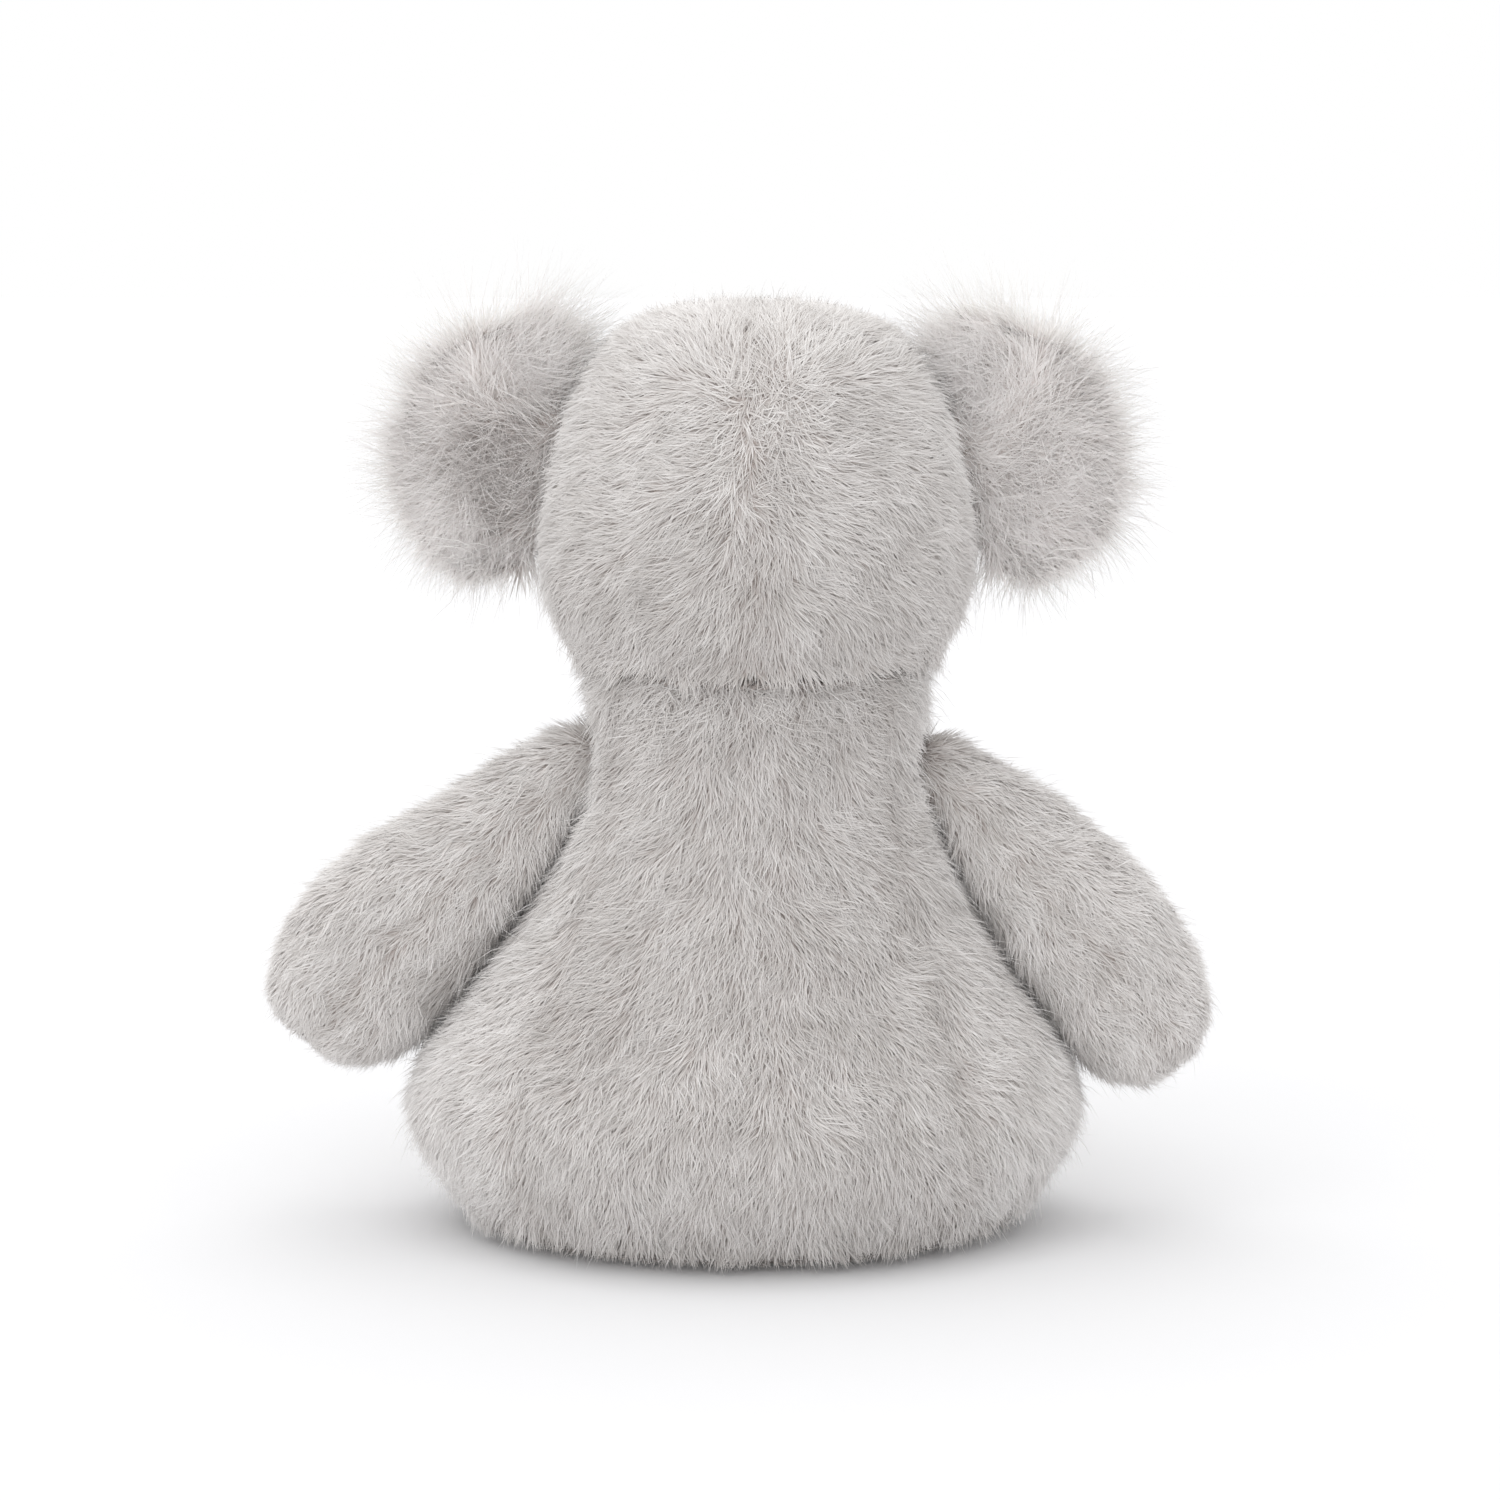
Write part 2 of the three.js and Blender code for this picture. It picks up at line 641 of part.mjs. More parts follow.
// Legs, each a skin closed by a sole and pressed flat where it rests
for (const [side, leg] of Object.entries(legs)) {
  const { skin, fill } = limbSkin(leg, torsoGrown);
  const standing = skin.trimByPlane([0, 0, 1], 0);
  const soleSeam = leg.pivot.dot(leg.forward) + legLength - soleDepth;
  const footwards = leg.forward.toArray();
  const bodywards = footwards.map((part) => -part);
  const sole = standing.trimByPlane(footwards, soleSeam + seamGap / 2);
  const tube = standing.trimByPlane(bodywards, seamGap / 2 - soleSeam);
  addPiece(leg.group, `leg_${side}_skin`, cutPieces(tube)[0], greyPlush);
  addPiece(leg.group, `leg_${side}_sole`, cutPieces(sole)[0], palePlush);
  addPiece(leg.group, `leg_${side}_fill`, cutPieces(fill)[0], stuffing);
}

export default toy;
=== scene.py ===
# A seated koala soft toy: plush skins, their pile, stuffing, face and seat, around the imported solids
import json
import math
from types import SimpleNamespace

import bmesh
import bpy
import numpy as np
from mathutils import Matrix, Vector, noise
from mathutils.bvhtree import BVHTree


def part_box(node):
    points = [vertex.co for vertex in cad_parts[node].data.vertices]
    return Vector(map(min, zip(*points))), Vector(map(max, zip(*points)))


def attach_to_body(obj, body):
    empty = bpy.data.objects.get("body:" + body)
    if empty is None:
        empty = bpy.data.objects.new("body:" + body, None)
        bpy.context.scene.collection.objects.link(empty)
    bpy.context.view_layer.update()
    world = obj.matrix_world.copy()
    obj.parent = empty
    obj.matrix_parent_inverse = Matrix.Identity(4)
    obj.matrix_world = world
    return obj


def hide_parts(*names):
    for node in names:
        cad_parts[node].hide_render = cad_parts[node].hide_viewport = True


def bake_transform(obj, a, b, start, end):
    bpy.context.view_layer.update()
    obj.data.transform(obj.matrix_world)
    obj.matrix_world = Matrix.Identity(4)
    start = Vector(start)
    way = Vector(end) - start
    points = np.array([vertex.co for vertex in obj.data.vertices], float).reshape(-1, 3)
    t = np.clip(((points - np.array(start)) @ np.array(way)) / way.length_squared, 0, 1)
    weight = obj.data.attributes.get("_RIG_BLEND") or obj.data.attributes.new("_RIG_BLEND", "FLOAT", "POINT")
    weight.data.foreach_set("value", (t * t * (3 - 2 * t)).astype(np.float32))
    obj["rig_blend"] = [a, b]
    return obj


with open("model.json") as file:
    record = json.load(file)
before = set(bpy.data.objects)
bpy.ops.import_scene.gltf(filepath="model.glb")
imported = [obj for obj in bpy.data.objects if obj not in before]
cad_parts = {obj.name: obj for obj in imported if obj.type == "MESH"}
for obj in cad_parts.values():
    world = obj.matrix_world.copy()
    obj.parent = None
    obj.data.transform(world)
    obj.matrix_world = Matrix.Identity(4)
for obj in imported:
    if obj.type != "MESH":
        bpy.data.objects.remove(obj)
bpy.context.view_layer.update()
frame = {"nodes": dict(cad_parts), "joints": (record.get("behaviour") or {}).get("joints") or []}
nodes = frame["nodes"]
pivots = {joint["name"]: Vector(joint["pos_m"]) for joint in frame["joints"]}
scene = bpy.context.scene
scene.view_settings.view_transform = "Standard"

MM = 0.001
PER_SQUARE_MM = 1e6
TINY = 1e-9
SEED = 27
SIDES = {"left": 1, "right": -1}
NECK = pivots["head_nod"]

# Camera of the photograph
CAMERA_TARGET = Vector((-1.2, 0, 98)) * MM
CAMERA_DISTANCE = 850 * MM
CAMERA_RISE = math.radians(8)
CAMERA_LENS = 100
CAMERA_CLIP = 0.01
SENSOR_WIDTH = 36

# Stage and light
WHITE = (1, 1, 1, 1)
FLOOR_SIZE = 12
FLOOR_TONE = (0.83, 0.83, 0.84, 1)
FLOOR_GLOW = 0.03
WORLD_STRENGTH = 0.82
SUN_STRENGTH = 1.0
SUN_SPREAD = math.radians(64)
SUN_FROM = Vector((0.08, -0.15, 1.0))
FILL_STRENGTH = 0.88
FILL_SPREAD = math.radians(90)
FILL_FROM = Vector((0.45, 1.0, 0.3))

# Panels that are sewn round each body, and what lies inside them
TORSO_SIDES = ("back", "flank", "belly")
HEAD_SIDES = ("head", "face")
BODY_PANELS = {
    "torso": ["back_panel", "belly_panel", "flank_left", "flank_right", "base_panel"],
    "head": ["face_panel", "head_back_left", "head_back_right"],
}
BODY_FILLS = {
    "torso": ["torso_fill", "pellet_pouch", "pellets"],
    "head": ["head_fill", "eye_left", "eye_right", "nose_cover", "nose_padding"],
}
for side in SIDES:
    BODY_PANELS[f"ear_{side}"] = [f"ear_{side}_back", f"ear_{side}_front"]
    BODY_PANELS[f"arm_{side}"] = [f"arm_{side}_outer", f"arm_{side}_inner"]
    BODY_PANELS[f"leg_{side}"] = [f"leg_{side}_skin", f"leg_{side}_sole"]
    BODY_FILLS[f"ear_{side}"] = []
    BODY_FILLS[f"arm_{side}"] = [f"arm_{side}_fill"]
    BODY_FILLS[f"leg_{side}"] = [f"leg_{side}_fill"]

# Uses of the soft noise, each of which has a place of its own in it
PARTING_DRIFTS = ("drift_x", "drift_y", "drift_z")
NOISE_USES = ("wander", "patches", "lumps", "sag", "ruffle", "rise", "edge", *PARTING_DRIFTS)


# Small tools

def span(low, high):
    return low * MM, high * MM


def kind_of(name):
    return name.split("_")[0]


def side_of(points):
    return "left" if points[:, 0].mean() > 0 else "right"


def linked(name, data):
    piece = bpy.data.objects.new(name, data)
    scene.collection.objects.link(piece)
    return piece


def rows_from(mesh, value):
    flat = np.empty(len(mesh.vertices) * 3)
    mesh.vertices.foreach_get(value, flat)
    return flat.reshape(-1, 3)


def points_of(mesh):
    return rows_from(mesh, "co")


def normals_of(mesh):
    return rows_from(mesh, "normal")


def set_points(mesh, points):
    mesh.vertices.foreach_set("co", np.ascontiguousarray(points, dtype=float).ravel())
    mesh.update()


def mesh_from(work, name):
    mesh = bpy.data.meshes.new(name)
    work.to_mesh(mesh)
    work.free()
    return mesh


def shade_smooth(mesh):
    mesh.polygons.foreach_set("use_smooth", np.ones(len(mesh.polygons), dtype=bool))


def vectors(x, y, z):
    return np.column_stack(np.broadcast_arrays(x, y, z))


def smooth_step(low, high, values):
    share = np.clip((values - low) / (high - low), 0, 1)
    return share * share * (3 - 2 * share)


def unit_rows(rows):
    lengths = np.linalg.norm(rows, axis=1, keepdims=True)
    return rows / np.maximum(lengths, TINY)


def along_surface(rows, normals):
    out_part = np.sum(rows * normals, axis=1, keepdims=True)
    return unit_rows(rows - out_part * normals)


def reach_from(place, points):
    return np.linalg.norm(points - np.array(place), axis=1)


def middle_of(node):
    low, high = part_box(node)
    return (low + high) / 2


def soft_noise(points, wavelength, use):
    place = 1 + NOISE_USES.index(use)
    shift = Vector((place, 2 * place, 3 * place))
    return np.array([noise.noise(Vector(point) / wavelength + shift) for point in points])


def evaluated_mesh(piece):
    graph = bpy.context.evaluated_depsgraph_get()
    graph.update()
    return bpy.data.meshes.new_from_object(piece.evaluated_get(graph))


def bake_modifiers(piece):
    mesh = evaluated_mesh(piece)
    piece.modifiers.clear()
    old = piece.data
    piece.data = mesh
    bpy.data.meshes.remove(old)


def tree_of(node):
    mesh = nodes[node].data
    corners = [vertex.co.copy() for vertex in mesh.vertices]
    return BVHTree.FromPolygons(corners, [tuple(face.vertices) for face in mesh.polygons])


def distances(tree, points):
    return np.array([tree.find_nearest(Vector(point))[3] for point in points])


# Last steps of a piece: its material, the node that it stands for, and its body

def paint(piece, material):
    piece.data.materials.clear()
    piece.data.materials.append(material)


def stand_for(piece, node, body):
    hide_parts(node)
    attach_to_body(piece, body)


# Nodes of one tree, added and joined by short calls
class Wiring:
    def __init__(self, tree):
        self.tree = tree

    def feed(self, node, inputs):
        for key, value in inputs.items():
            if isinstance(value, bpy.types.NodeSocket):
                self.tree.links.new(value, node.inputs[key])
            else:
                node.inputs[key].default_value = value

    def add(self, kind, inputs=None, **settings):
        made = self.tree.nodes.new(kind)
        for key, value in settings.items():
            setattr(made, key, value)
        self.feed(made, inputs or {})
        return made

    def maths(self, operation, first, second):
        return self.add("ShaderNodeMath", {0: first, 1: second}, operation=operation).outputs[0]

    def vector_maths(self, operation, first, second):
        return self.add("ShaderNodeVectorMath", {0: first, 1: second}, operation=operation).outputs[0]

    def scaled(self, vector, factor):
        inputs = {"Vector": vector, "Scale": factor}
        return self.add("ShaderNodeVectorMath", inputs, operation="SCALE").outputs[0]

    def combined(self, **parts):
        return self.add("ShaderNodeCombineXYZ", parts).outputs[0]

    def ranged(self, value, low, high):
        inputs = {"Value": value, "To Min": low, "To Max": high}
        return self.add("ShaderNodeMapRange", inputs).outputs["Result"]

    def bump(self, height, strength, distance):
        inputs = {"Height": height, "Strength": strength, "Distance": distance}
        return self.add("ShaderNodeBump", inputs).outputs["Normal"]

    def ramp(self, value, stops):
        made = self.add("ShaderNodeValToRGB", {"Fac": value})
        elements = made.color_ramp.elements
        while len(elements) < len(stops):
            elements.new(0.5)
        for element, (place, colour) in zip(elements, stops):
            element.position = place
            element.color = colour
        return made.outputs["Color"]

    def attribute(self, name, data_type="FLOAT"):
        inputs = {"Name": name}
        return self.add("GeometryNodeInputNamedAttribute", inputs, data_type=data_type).outputs[0]

    def stored(self, geometry, name, value, **settings):
        inputs = {"Geometry": geometry, "Name": name, "Value": value}
        return self.add("GeometryNodeStoreNamedAttribute", inputs, **settings).outputs[0]

    def realised(self, geometry):
        return self.add("GeometryNodeRealizeInstances", {"Geometry": geometry}).outputs[0]

    def give(self, geometry, material):
        painted = self.add("GeometryNodeSetMaterial", {"Geometry": geometry, "Material": material})
        self.add("NodeGroupOutput", {"Geometry": painted.outputs[0]})


# A Geometry Nodes tree with named inputs, which takes geometry and gives geometry
def geometry_tree(name, inputs):
    tree = bpy.data.node_groups.new(name, "GeometryNodeTree")
    for label, kind in {"Geometry": "Geometry", **inputs}.items():
        tree.interface.new_socket(label, in_out="INPUT", socket_type=f"NodeSocket{kind}")
    tree.interface.new_socket("Geometry", in_out="OUTPUT", socket_type="NodeSocketGeometry")
    wiring = Wiring(tree)
    return tree, wiring, wiring.add("NodeGroupInput").outputs


def add_tree(piece, tree, values):
    grower = piece.modifiers.new(tree.name, "NODES")
    grower.node_group = tree
    for item in tree.interface.items_tree:
        if item.in_out == "INPUT" and item.name in values:
            grower[item.identifier] = values[item.name]


# Materials, with colours as they look on a screen
DARK_WARMTH = 1.5
LIGHT_WARMTH = 0.6
WAVES_PER_THREAD = 0.16
THREAD_GAP_SHADE = 0.7


def linear(red, green, blue):
    channels = [channel / 255 for channel in (red, green, blue)]
    return [c / 12.92 if c <= 0.04045 else ((c + 0.055) / 1.055) ** 2.4 for c in channels] + [1]


def new_material(name):
    material = bpy.data.materials.new(name)
    material.use_nodes = True
    tree = material.node_tree
    return material, Wiring(tree), tree.nodes["Principled BSDF"]


# Pile: U of the map is the strand's shade, V runs from its root to its tip, and darker strands are browner
def pile_material(name, root, middle, tip, shade, sheen=0.2):
    material, wiring, shader = new_material(name)
    place = wiring.add("ShaderNodeUVMap", uv_map="OFBake").outputs["UV"]
    split = wiring.add("ShaderNodeSeparateXYZ", {"Vector": place}).outputs
    stops = [(0.0, linear(*root)), (0.45, linear(*middle)), (1.0, linear(*tip))]
    shaded = wiring.add(
        "ShaderNodeHueSaturation",
        {
            "Saturation": wiring.ranged(split["X"], DARK_WARMTH, LIGHT_WARMTH),
            "Value": wiring.ranged(split["X"], *shade),
            "Color": wiring.ramp(split["Y"], stops),
        },
    )
    looks = {
        "Base Color": shaded.outputs["Color"],
        "Roughness": 0.9,
        "Specular IOR Level": 0.15,
        "Sheen Weight": sheen,
        "Sheen Roughness": 0.5,
    }
    wiring.feed(shader, looks)
    return material


# Cloth with a fine weave: colour and bump follow two crossed sets of threads, with painted shade in the gaps
# between them
def woven_material(name, colour, thread, roughness):
    material, wiring, shader = new_material(name)
    place = wiring.add("ShaderNodeTexCoord").outputs["Object"]
    waves = {"Vector": place, "Scale": WAVES_PER_THREAD / thread, "Distortion": 1.5, "Detail": 1.0}
    across = wiring.add("ShaderNodeTexWave", waves, bands_direction="X").outputs["Fac"]
    upward = wiring.add("ShaderNodeTexWave", waves, bands_direction="Z").outputs["Fac"]
    weave = wiring.maths("MULTIPLY", across, upward)
    light = linear(*colour)
    dark = [channel * THREAD_GAP_SHADE for channel in light[:3]] + [1]
    looks = {
        "Base Color": wiring.ramp(weave, [(0, dark), (1, light)]),
        "Normal": wiring.bump(weave, strength=0.5, distance=thread / 2),
        "Roughness": roughness,
    }
    wiring.feed(shader, looks)
    return material


# Matter with soft mottling, such as fibre, velour and moulded plastic
def mottled_material(name, dark, light, grain, relief, roughness, sheen=0.0, coat=0.0):
    material, wiring, shader = new_material(name)
    place = wiring.add("ShaderNodeTexCoord").outputs["Object"]
    clouds = {"Vector": place, "Scale": 1 / grain, "Detail": 4.0}
    cloud = wiring.add("ShaderNodeTexNoise", clouds).outputs["Fac"]
    looks = {
        "Base Color": wiring.ramp(cloud, [(0.3, linear(*dark)), (0.7, linear(*light))]),
        "Normal": wiring.bump(cloud, strength=0.6, distance=relief),
        "Roughness": roughness,
        "Sheen Weight": sheen,
        "Coat Weight": coat,
    }
    wiring.feed(shader, looks)
    return material


GREY_PILE = pile_material(
    "grey_plush_pile", root=(192, 182, 178), middle=(226, 222, 219), tip=(240, 237, 235), shade=(0.7, 1.17)
)
PALE_PILE = pile_material(
    "pale_plush_pile", root=(232, 225, 220), middle=(239, 235, 232), tip=(245, 242, 239), shade=(0.9, 1.03)
)
# The ear pile's near-white tips and its lightest strands, lifted above their own colour, are partly painted
# light for the glow of the ear's rim
EAR_PILE = pile_material(
    "ear_plush_pile",
    root=(224, 209, 203), middle=(248, 242, 239), tip=(255, 252, 250), shade=(0.45, 1.06), sheen=0.8,
)
LINING_PILE = pile_material(
    "ear_lining_pile",
    root=(228, 219, 214), middle=(240, 236, 232), tip=(248, 246, 243), shade=(0.9, 1.02), sheen=0.6,
)
BACKING = woven_material("knitted_backing", colour=(222, 212, 206), thread=0.7 * MM, roughness=0.95)
COTTON = woven_material("pouch_cotton_weave", colour=(222, 219, 210), thread=0.6 * MM, roughness=0.9)
FIBRE = mottled_material(
    "stuffing_fibre",
    dark=(214, 212, 206), light=(246, 245, 241), grain=4 * MM, relief=1.5 * MM, roughness=1.0,
)
VELOUR = mottled_material(
    "nose_velour_nap",
    dark=(30, 27, 28), light=(52, 47, 48), grain=0.7 * MM, relief=0.25 * MM, roughness=0.8, sheen=0.35,
)
EYE_PLASTIC = mottled_material(
    "eye_gloss_plastic",
    dark=(12, 10, 9), light=(20, 16, 14), grain=6 * MM, relief=0.001 * MM, roughness=0.1, coat=0.1,
)
WASHER_PLASTIC = mottled_material(
    "washer_moulded_plastic",
    dark=(218, 218, 212), light=(236, 236, 231), grain=3 * MM, relief=0.05 * MM, roughness=0.45,
)
PELLET_PLASTIC = mottled_material(
    "pellet_moulded_plastic",
    dark=(198, 203, 205), light=(222, 226, 227), grain=2 * MM, relief=0.05 * MM, roughness=0.4,
)
THREAD = mottled_material(
    "seam_thread",
    dark=(142, 134, 130), light=(178, 170, 166), grain=0.8 * MM, relief=0.1 * MM, roughness=0.85,
)


# Skins, remeshed from the panels and what fills them: voxels, smoothing and depth under the panels' outside
SKIN_VOXELS = {"torso": 3.2 * MM, "head": 3.2 * MM, "ear": 2.4 * MM, "arm": 2.6 * MM, "leg": 2.6 * MM}
SKIN_INSETS = {"torso": 2.6 * MM, "head": 2.4 * MM, "ear": 4.0 * MM, "arm": 2.4 * MM, "leg": 2.4 * MM}
WELD_REACH = 0.01 * MM
SMOOTHING_PASSES = 6
LAST_PASSES = 2

# Heights, reaches and facings over which a backing changes its depth, and its share of the depth there
TORSO_NECK = span(97, 110)
TORSO_RIM = span(106, 113)
TORSO_FOOT = span(1, 14)
UNDER_ARM = span(30, 45)
FACING_SIDE = (0.3, 0.7)
NECK_REACH = 4.5 * MM
NECK_CUT = 0.3
ARMPIT_CUT = 0.6
FOOT_DROP = 0.2
FOOT_DEPTH = 0.5
HEAD_NECK = span(120, 134)
HEAD_RIM = span(117, 129)
HEAD_DRAW_IN = 1.1
EAR_ROOT = span(-2, 12)
EAR_ROOT_SHARE = 0.1
LIMB_ROOT = span(8, 28)
LIMB_ROOT_SHARE = 0.25
ROOT_SHARES = {"arm_right": 0.9}
FACING_BODY = (0.1, 0.7)
INNER_ARM_CUT = 0.8
ARM_FULLNESS = {"left": 1.2, "right": 0.0}
ARM_MIDDLE = 36 * MM
ARM_TAPER = 24 * MM
ARM_SLIMMEST = -0.2


def joined_copy(name, node_names):
    work = bmesh.new()
    for node in node_names:
        work.from_mesh(nodes[node].data)
    bmesh.ops.remove_doubles(work, verts=work.verts, dist=WELD_REACH)
    return linked(name, mesh_from(work, name))


def keep_largest_shell(mesh):
    work = bmesh.new()
    work.from_mesh(mesh)
    unseen = set(work.verts)
    shells = []
    while unseen:
        front = [unseen.pop()]
        shell = set(front)
        while front:
            vertex = front.pop()
            for edge in vertex.link_edges:
                other = edge.other_vert(vertex)
                if other in unseen:
                    unseen.remove(other)
                    shell.add(other)
                    front.append(other)
        shells.append(shell)
    shells.sort(key=len)
    for shell in shells[:-1]:
        bmesh.ops.delete(work, geom=list(shell), context="VERTS")
    work.to_mesh(mesh)
    work.free()


def smooth_mesh(mesh, passes):
    work = bmesh.new()
    work.from_mesh(mesh)
    for _ in range(passes):
        bmesh.ops.smooth_vert(
            work, verts=work.verts, factor=0.5, use_axis_x=True, use_axis_y=True, use_axis_z=True
        )
    work.normal_update()
    work.to_mesh(mesh)
    work.free()
    mesh.update()


def remeshed_copy(name, node_names, voxel, passes):
    piece = joined_copy(name, node_names)
    remesh = piece.modifiers.new("remesh", "REMESH")
    remesh.mode = "VOXEL"
    remesh.voxel_size = voxel
    bake_modifiers(piece)
    keep_largest_shell(piece.data)
    smooth_mesh(piece.data, passes)
    return piece


# The backing lies under its pile, except along the neck's seam and at the root of a limb
def inset_moves(body, points, normals):
    kind, _, side = body.partition("_")
    heights = points[:, 2]
    moves = -SKIN_INSETS[kind] * normals
    if kind == "torso":
        near_neck = smooth_step(*TORSO_NECK, heights)
        off_floor = smooth_step(*TORSO_FOOT, heights)
        under_arm = smooth_step(*UNDER_ARM, heights) * smooth_step(*FACING_SIDE, np.abs(normals[:, 0]))
        level = (1 - NECK_CUT * near_neck) * (FOOT_DEPTH + (1 - FOOT_DEPTH) * off_floor)
        moves[:, 2] *= (1 - near_neck) * (FOOT_DROP + (1 - FOOT_DROP) * off_floor)
        moves[:, 2] += NECK_REACH * smooth_step(*TORSO_RIM, heights)
        moves[:, :2] *= (level * (1 - ARMPIT_CUT * under_arm))[:, None]
    elif kind == "head":
        moves[:, 2] *= smooth_step(*HEAD_NECK, heights)
        moves[:, :2] *= (1 + HEAD_DRAW_IN * (1 - smooth_step(*HEAD_RIM, heights)))[:, None]
    elif kind == "ear":
        outward = (points[:, 0] - pivots[f"{body}_fold"].x) * SIDES[side]
        moves *= (EAR_ROOT_SHARE + (1 - EAR_ROOT_SHARE) * smooth_step(*EAR_ROOT, outward))[:, None]
    else:
        reach = reach_from(pivots[f"{body}_lift"], points)
        share = ROOT_SHARES.get(body, LIMB_ROOT_SHARE)
        moves *= (share + (1 - share) * smooth_step(*LIMB_ROOT, reach))[:, None]
    if kind == "arm":
        towards_body = np.array([-SIDES[side], 0, -1]) / math.sqrt(2)
        moves *= (1 - INNER_ARM_CUT * smooth_step(*FACING_BODY, normals @ towards_body))[:, None]
        fullness = ARM_FULLNESS[side] * np.clip((reach - ARM_MIDDLE) / ARM_TAPER, ARM_SLIMMEST, 1)
        moves *= (1 - fullness * smooth_step(*FACING_BODY, -normals @ towards_body))[:, None]
    return moves


def remeshed_skin(body):
    node_names = BODY_PANELS[body] + BODY_FILLS[body]
    skin = remeshed_copy(f"{body}_backing", node_names, SKIN_VOXELS[kind_of(body)], SMOOTHING_PASSES)
    points = points_of(skin.data)
    set_points(skin.data, points + inset_moves(body, points, normals_of(skin.data)))
    smooth_mesh(skin.data, LAST_PASSES)
    return skin


# Cloth that swells between its seams, which are held where they are
CLOTH_PRESSURE = 4
CLOTH_FRAMES = 20
SWELL_CAP = 1.6 * MM
SEAM_PIN_REACH = 3.5 * MM
FLOOR_PIN_HEIGHT = 9 * MM


def add_cloth(body, skin):
    points = points_of(skin.data)
    rows = np.array([distances(panel_trees[panel], points) for panel in BODY_PANELS[body]])
    on_seam = np.sort(rows, axis=0)[1] < SEAM_PIN_REACH
    held = on_seam | (points[:, 2] < FLOOR_PIN_HEIGHT)
    group = skin.vertex_groups.new(name="held")
    group.add([int(i) for i in np.nonzero(held)[0]], 1.0, "REPLACE")
    cloth = skin.modifiers.new("padding", "CLOTH")
    cloth.settings.quality = 5
    cloth.settings.mass = 0.3
    cloth.settings.use_pressure = True
    cloth.settings.uniform_pressure_force = CLOTH_PRESSURE
    cloth.settings.vertex_group_mass = "held"
    cloth.settings.effector_weights.gravity = 0
    cloth.collision_settings.use_collision = False


def swell_skins():
    start = {body: points_of(skin.data) for body, skin in skins.items()}
    for frame_number in range(1, CLOTH_FRAMES + 1):
        scene.frame_set(frame_number)
    for body, skin in skins.items():
        swollen = evaluated_mesh(skin)
        moves = points_of(swollen) - start[body]
        bpy.data.meshes.remove(swollen)
        lengths = np.linalg.norm(moves, axis=1, keepdims=True)
        capped = moves * np.minimum(1, SWELL_CAP / np.maximum(lengths, TINY))
        skin.modifiers.clear()
        skin.vertex_groups.clear()
        set_points(skin.data, start[body] + capped)
    scene.frame_set(1)


def subdivide(skin):
    finer = skin.modifiers.new("finer", "SUBSURF")
    finer.levels = 1
    finer.render_levels = 1
    bake_modifiers(skin)
    shade_smooth(skin.data)


panel_trees = {panel: tree_of(panel) for panels in BODY_PANELS.values() for panel in panels}
skins = {}
for body in BODY_PANELS:
    skins[body] = remeshed_skin(body)
    add_cloth(body, skins[body])
swell_skins()
for skin in skins.values():
    subdivide(skin)


# Strands: closed spikes and bent hairs, in shares of the pile's length and width
TIP_HEIGHTS = {"lying": 0.22, "leaning": 0.30, "raised": 0.42}
UNDER_TIP_HEIGHT = 0.2
CURLS = {"inward": -1.5, "straight": 0.0, "outward": 1.5}
RIDGE = 0.03
RIDGE_ALONG = 0.06
FINE_KNEE = (0.45, 0.4)
FINE_TIP = (1.0, 0.62)
FINE_RIDGE = 0.008
FINE_CURL = 5


def strand_object(name, corners, faces, along, across):
    mesh = bpy.data.meshes.new(name)
    mesh.from_pydata(corners, [], faces)
    work = bmesh.new()
    work.from_mesh(mesh)
    bmesh.ops.recalc_face_normals(work, faces=work.faces)
    work.to_mesh(mesh)
    work.free()
    mesh.attributes.new("along", "FLOAT", "POINT").data.foreach_set("value", along)
    mesh.attributes.new("across", "FLOAT", "POINT").data.foreach_set("value", across)
    return bpy.data.objects.new(name, mesh)


def spike(name, tip_height, curl):
    corners = [(0, -0.5, 0), (0, 0.5, 0), (0, 0, RIDGE), (1, curl, tip_height)]
    faces = [(0, 1, 2), (0, 3, 1), (1, 3, 2), (2, 3, 0)]
    return strand_object(name, corners, faces, [0.0, 0.0, RIDGE_ALONG, 1.0], [-1.0, 1.0, 0.0, 0.0])


def hair(name, curl):
    knee_x, knee_z = FINE_KNEE
    tip_x, tip_z = FINE_TIP
    lean = Vector(FINE_TIP).normalized()
    drift = curl / 4
    corners = [
        (0, 0, 0),
        (knee_x, drift - 0.5, knee_z),
        (knee_x, drift + 0.5, knee_z),
        (knee_x - FINE_RIDGE * lean.y, drift, knee_z + FINE_RIDGE * lean.x),
        (tip_x, curl, tip_z),
    ]
    faces = []
    for here, there in ((1, 2), (2, 3), (3, 1)):
        faces.append((0, there, here))
        faces.append((4, here, there))
    return strand_object(name, corners, faces, [0.0, 0.5, 0.5, 0.5, 1.0], [0.0, -1.0, 1.0, 0.0, 0.0])


def strand_set(name, strands):
    collection = bpy.data.collections.new(name)
    for made in strands:
        collection.objects.link(made)
    return collection


TOP_STRANDS = strand_set(
    "top_strands",
    [
        spike(f"top_{bend}_{curl}", height, amount)
        for bend, height in TIP_HEIGHTS.items()
        for curl, amount in CURLS.items()
    ],
)
UNDER_STRANDS = strand_set("under_strands", [spike("under_blade", UNDER_TIP_HEIGHT, 0.0)])
FINE_STRANDS = strand_set(
    "fine_strands", [hair(f"fine_{curl}", FINE_CURL * amount) for curl, amount in CURLS.items()]
)

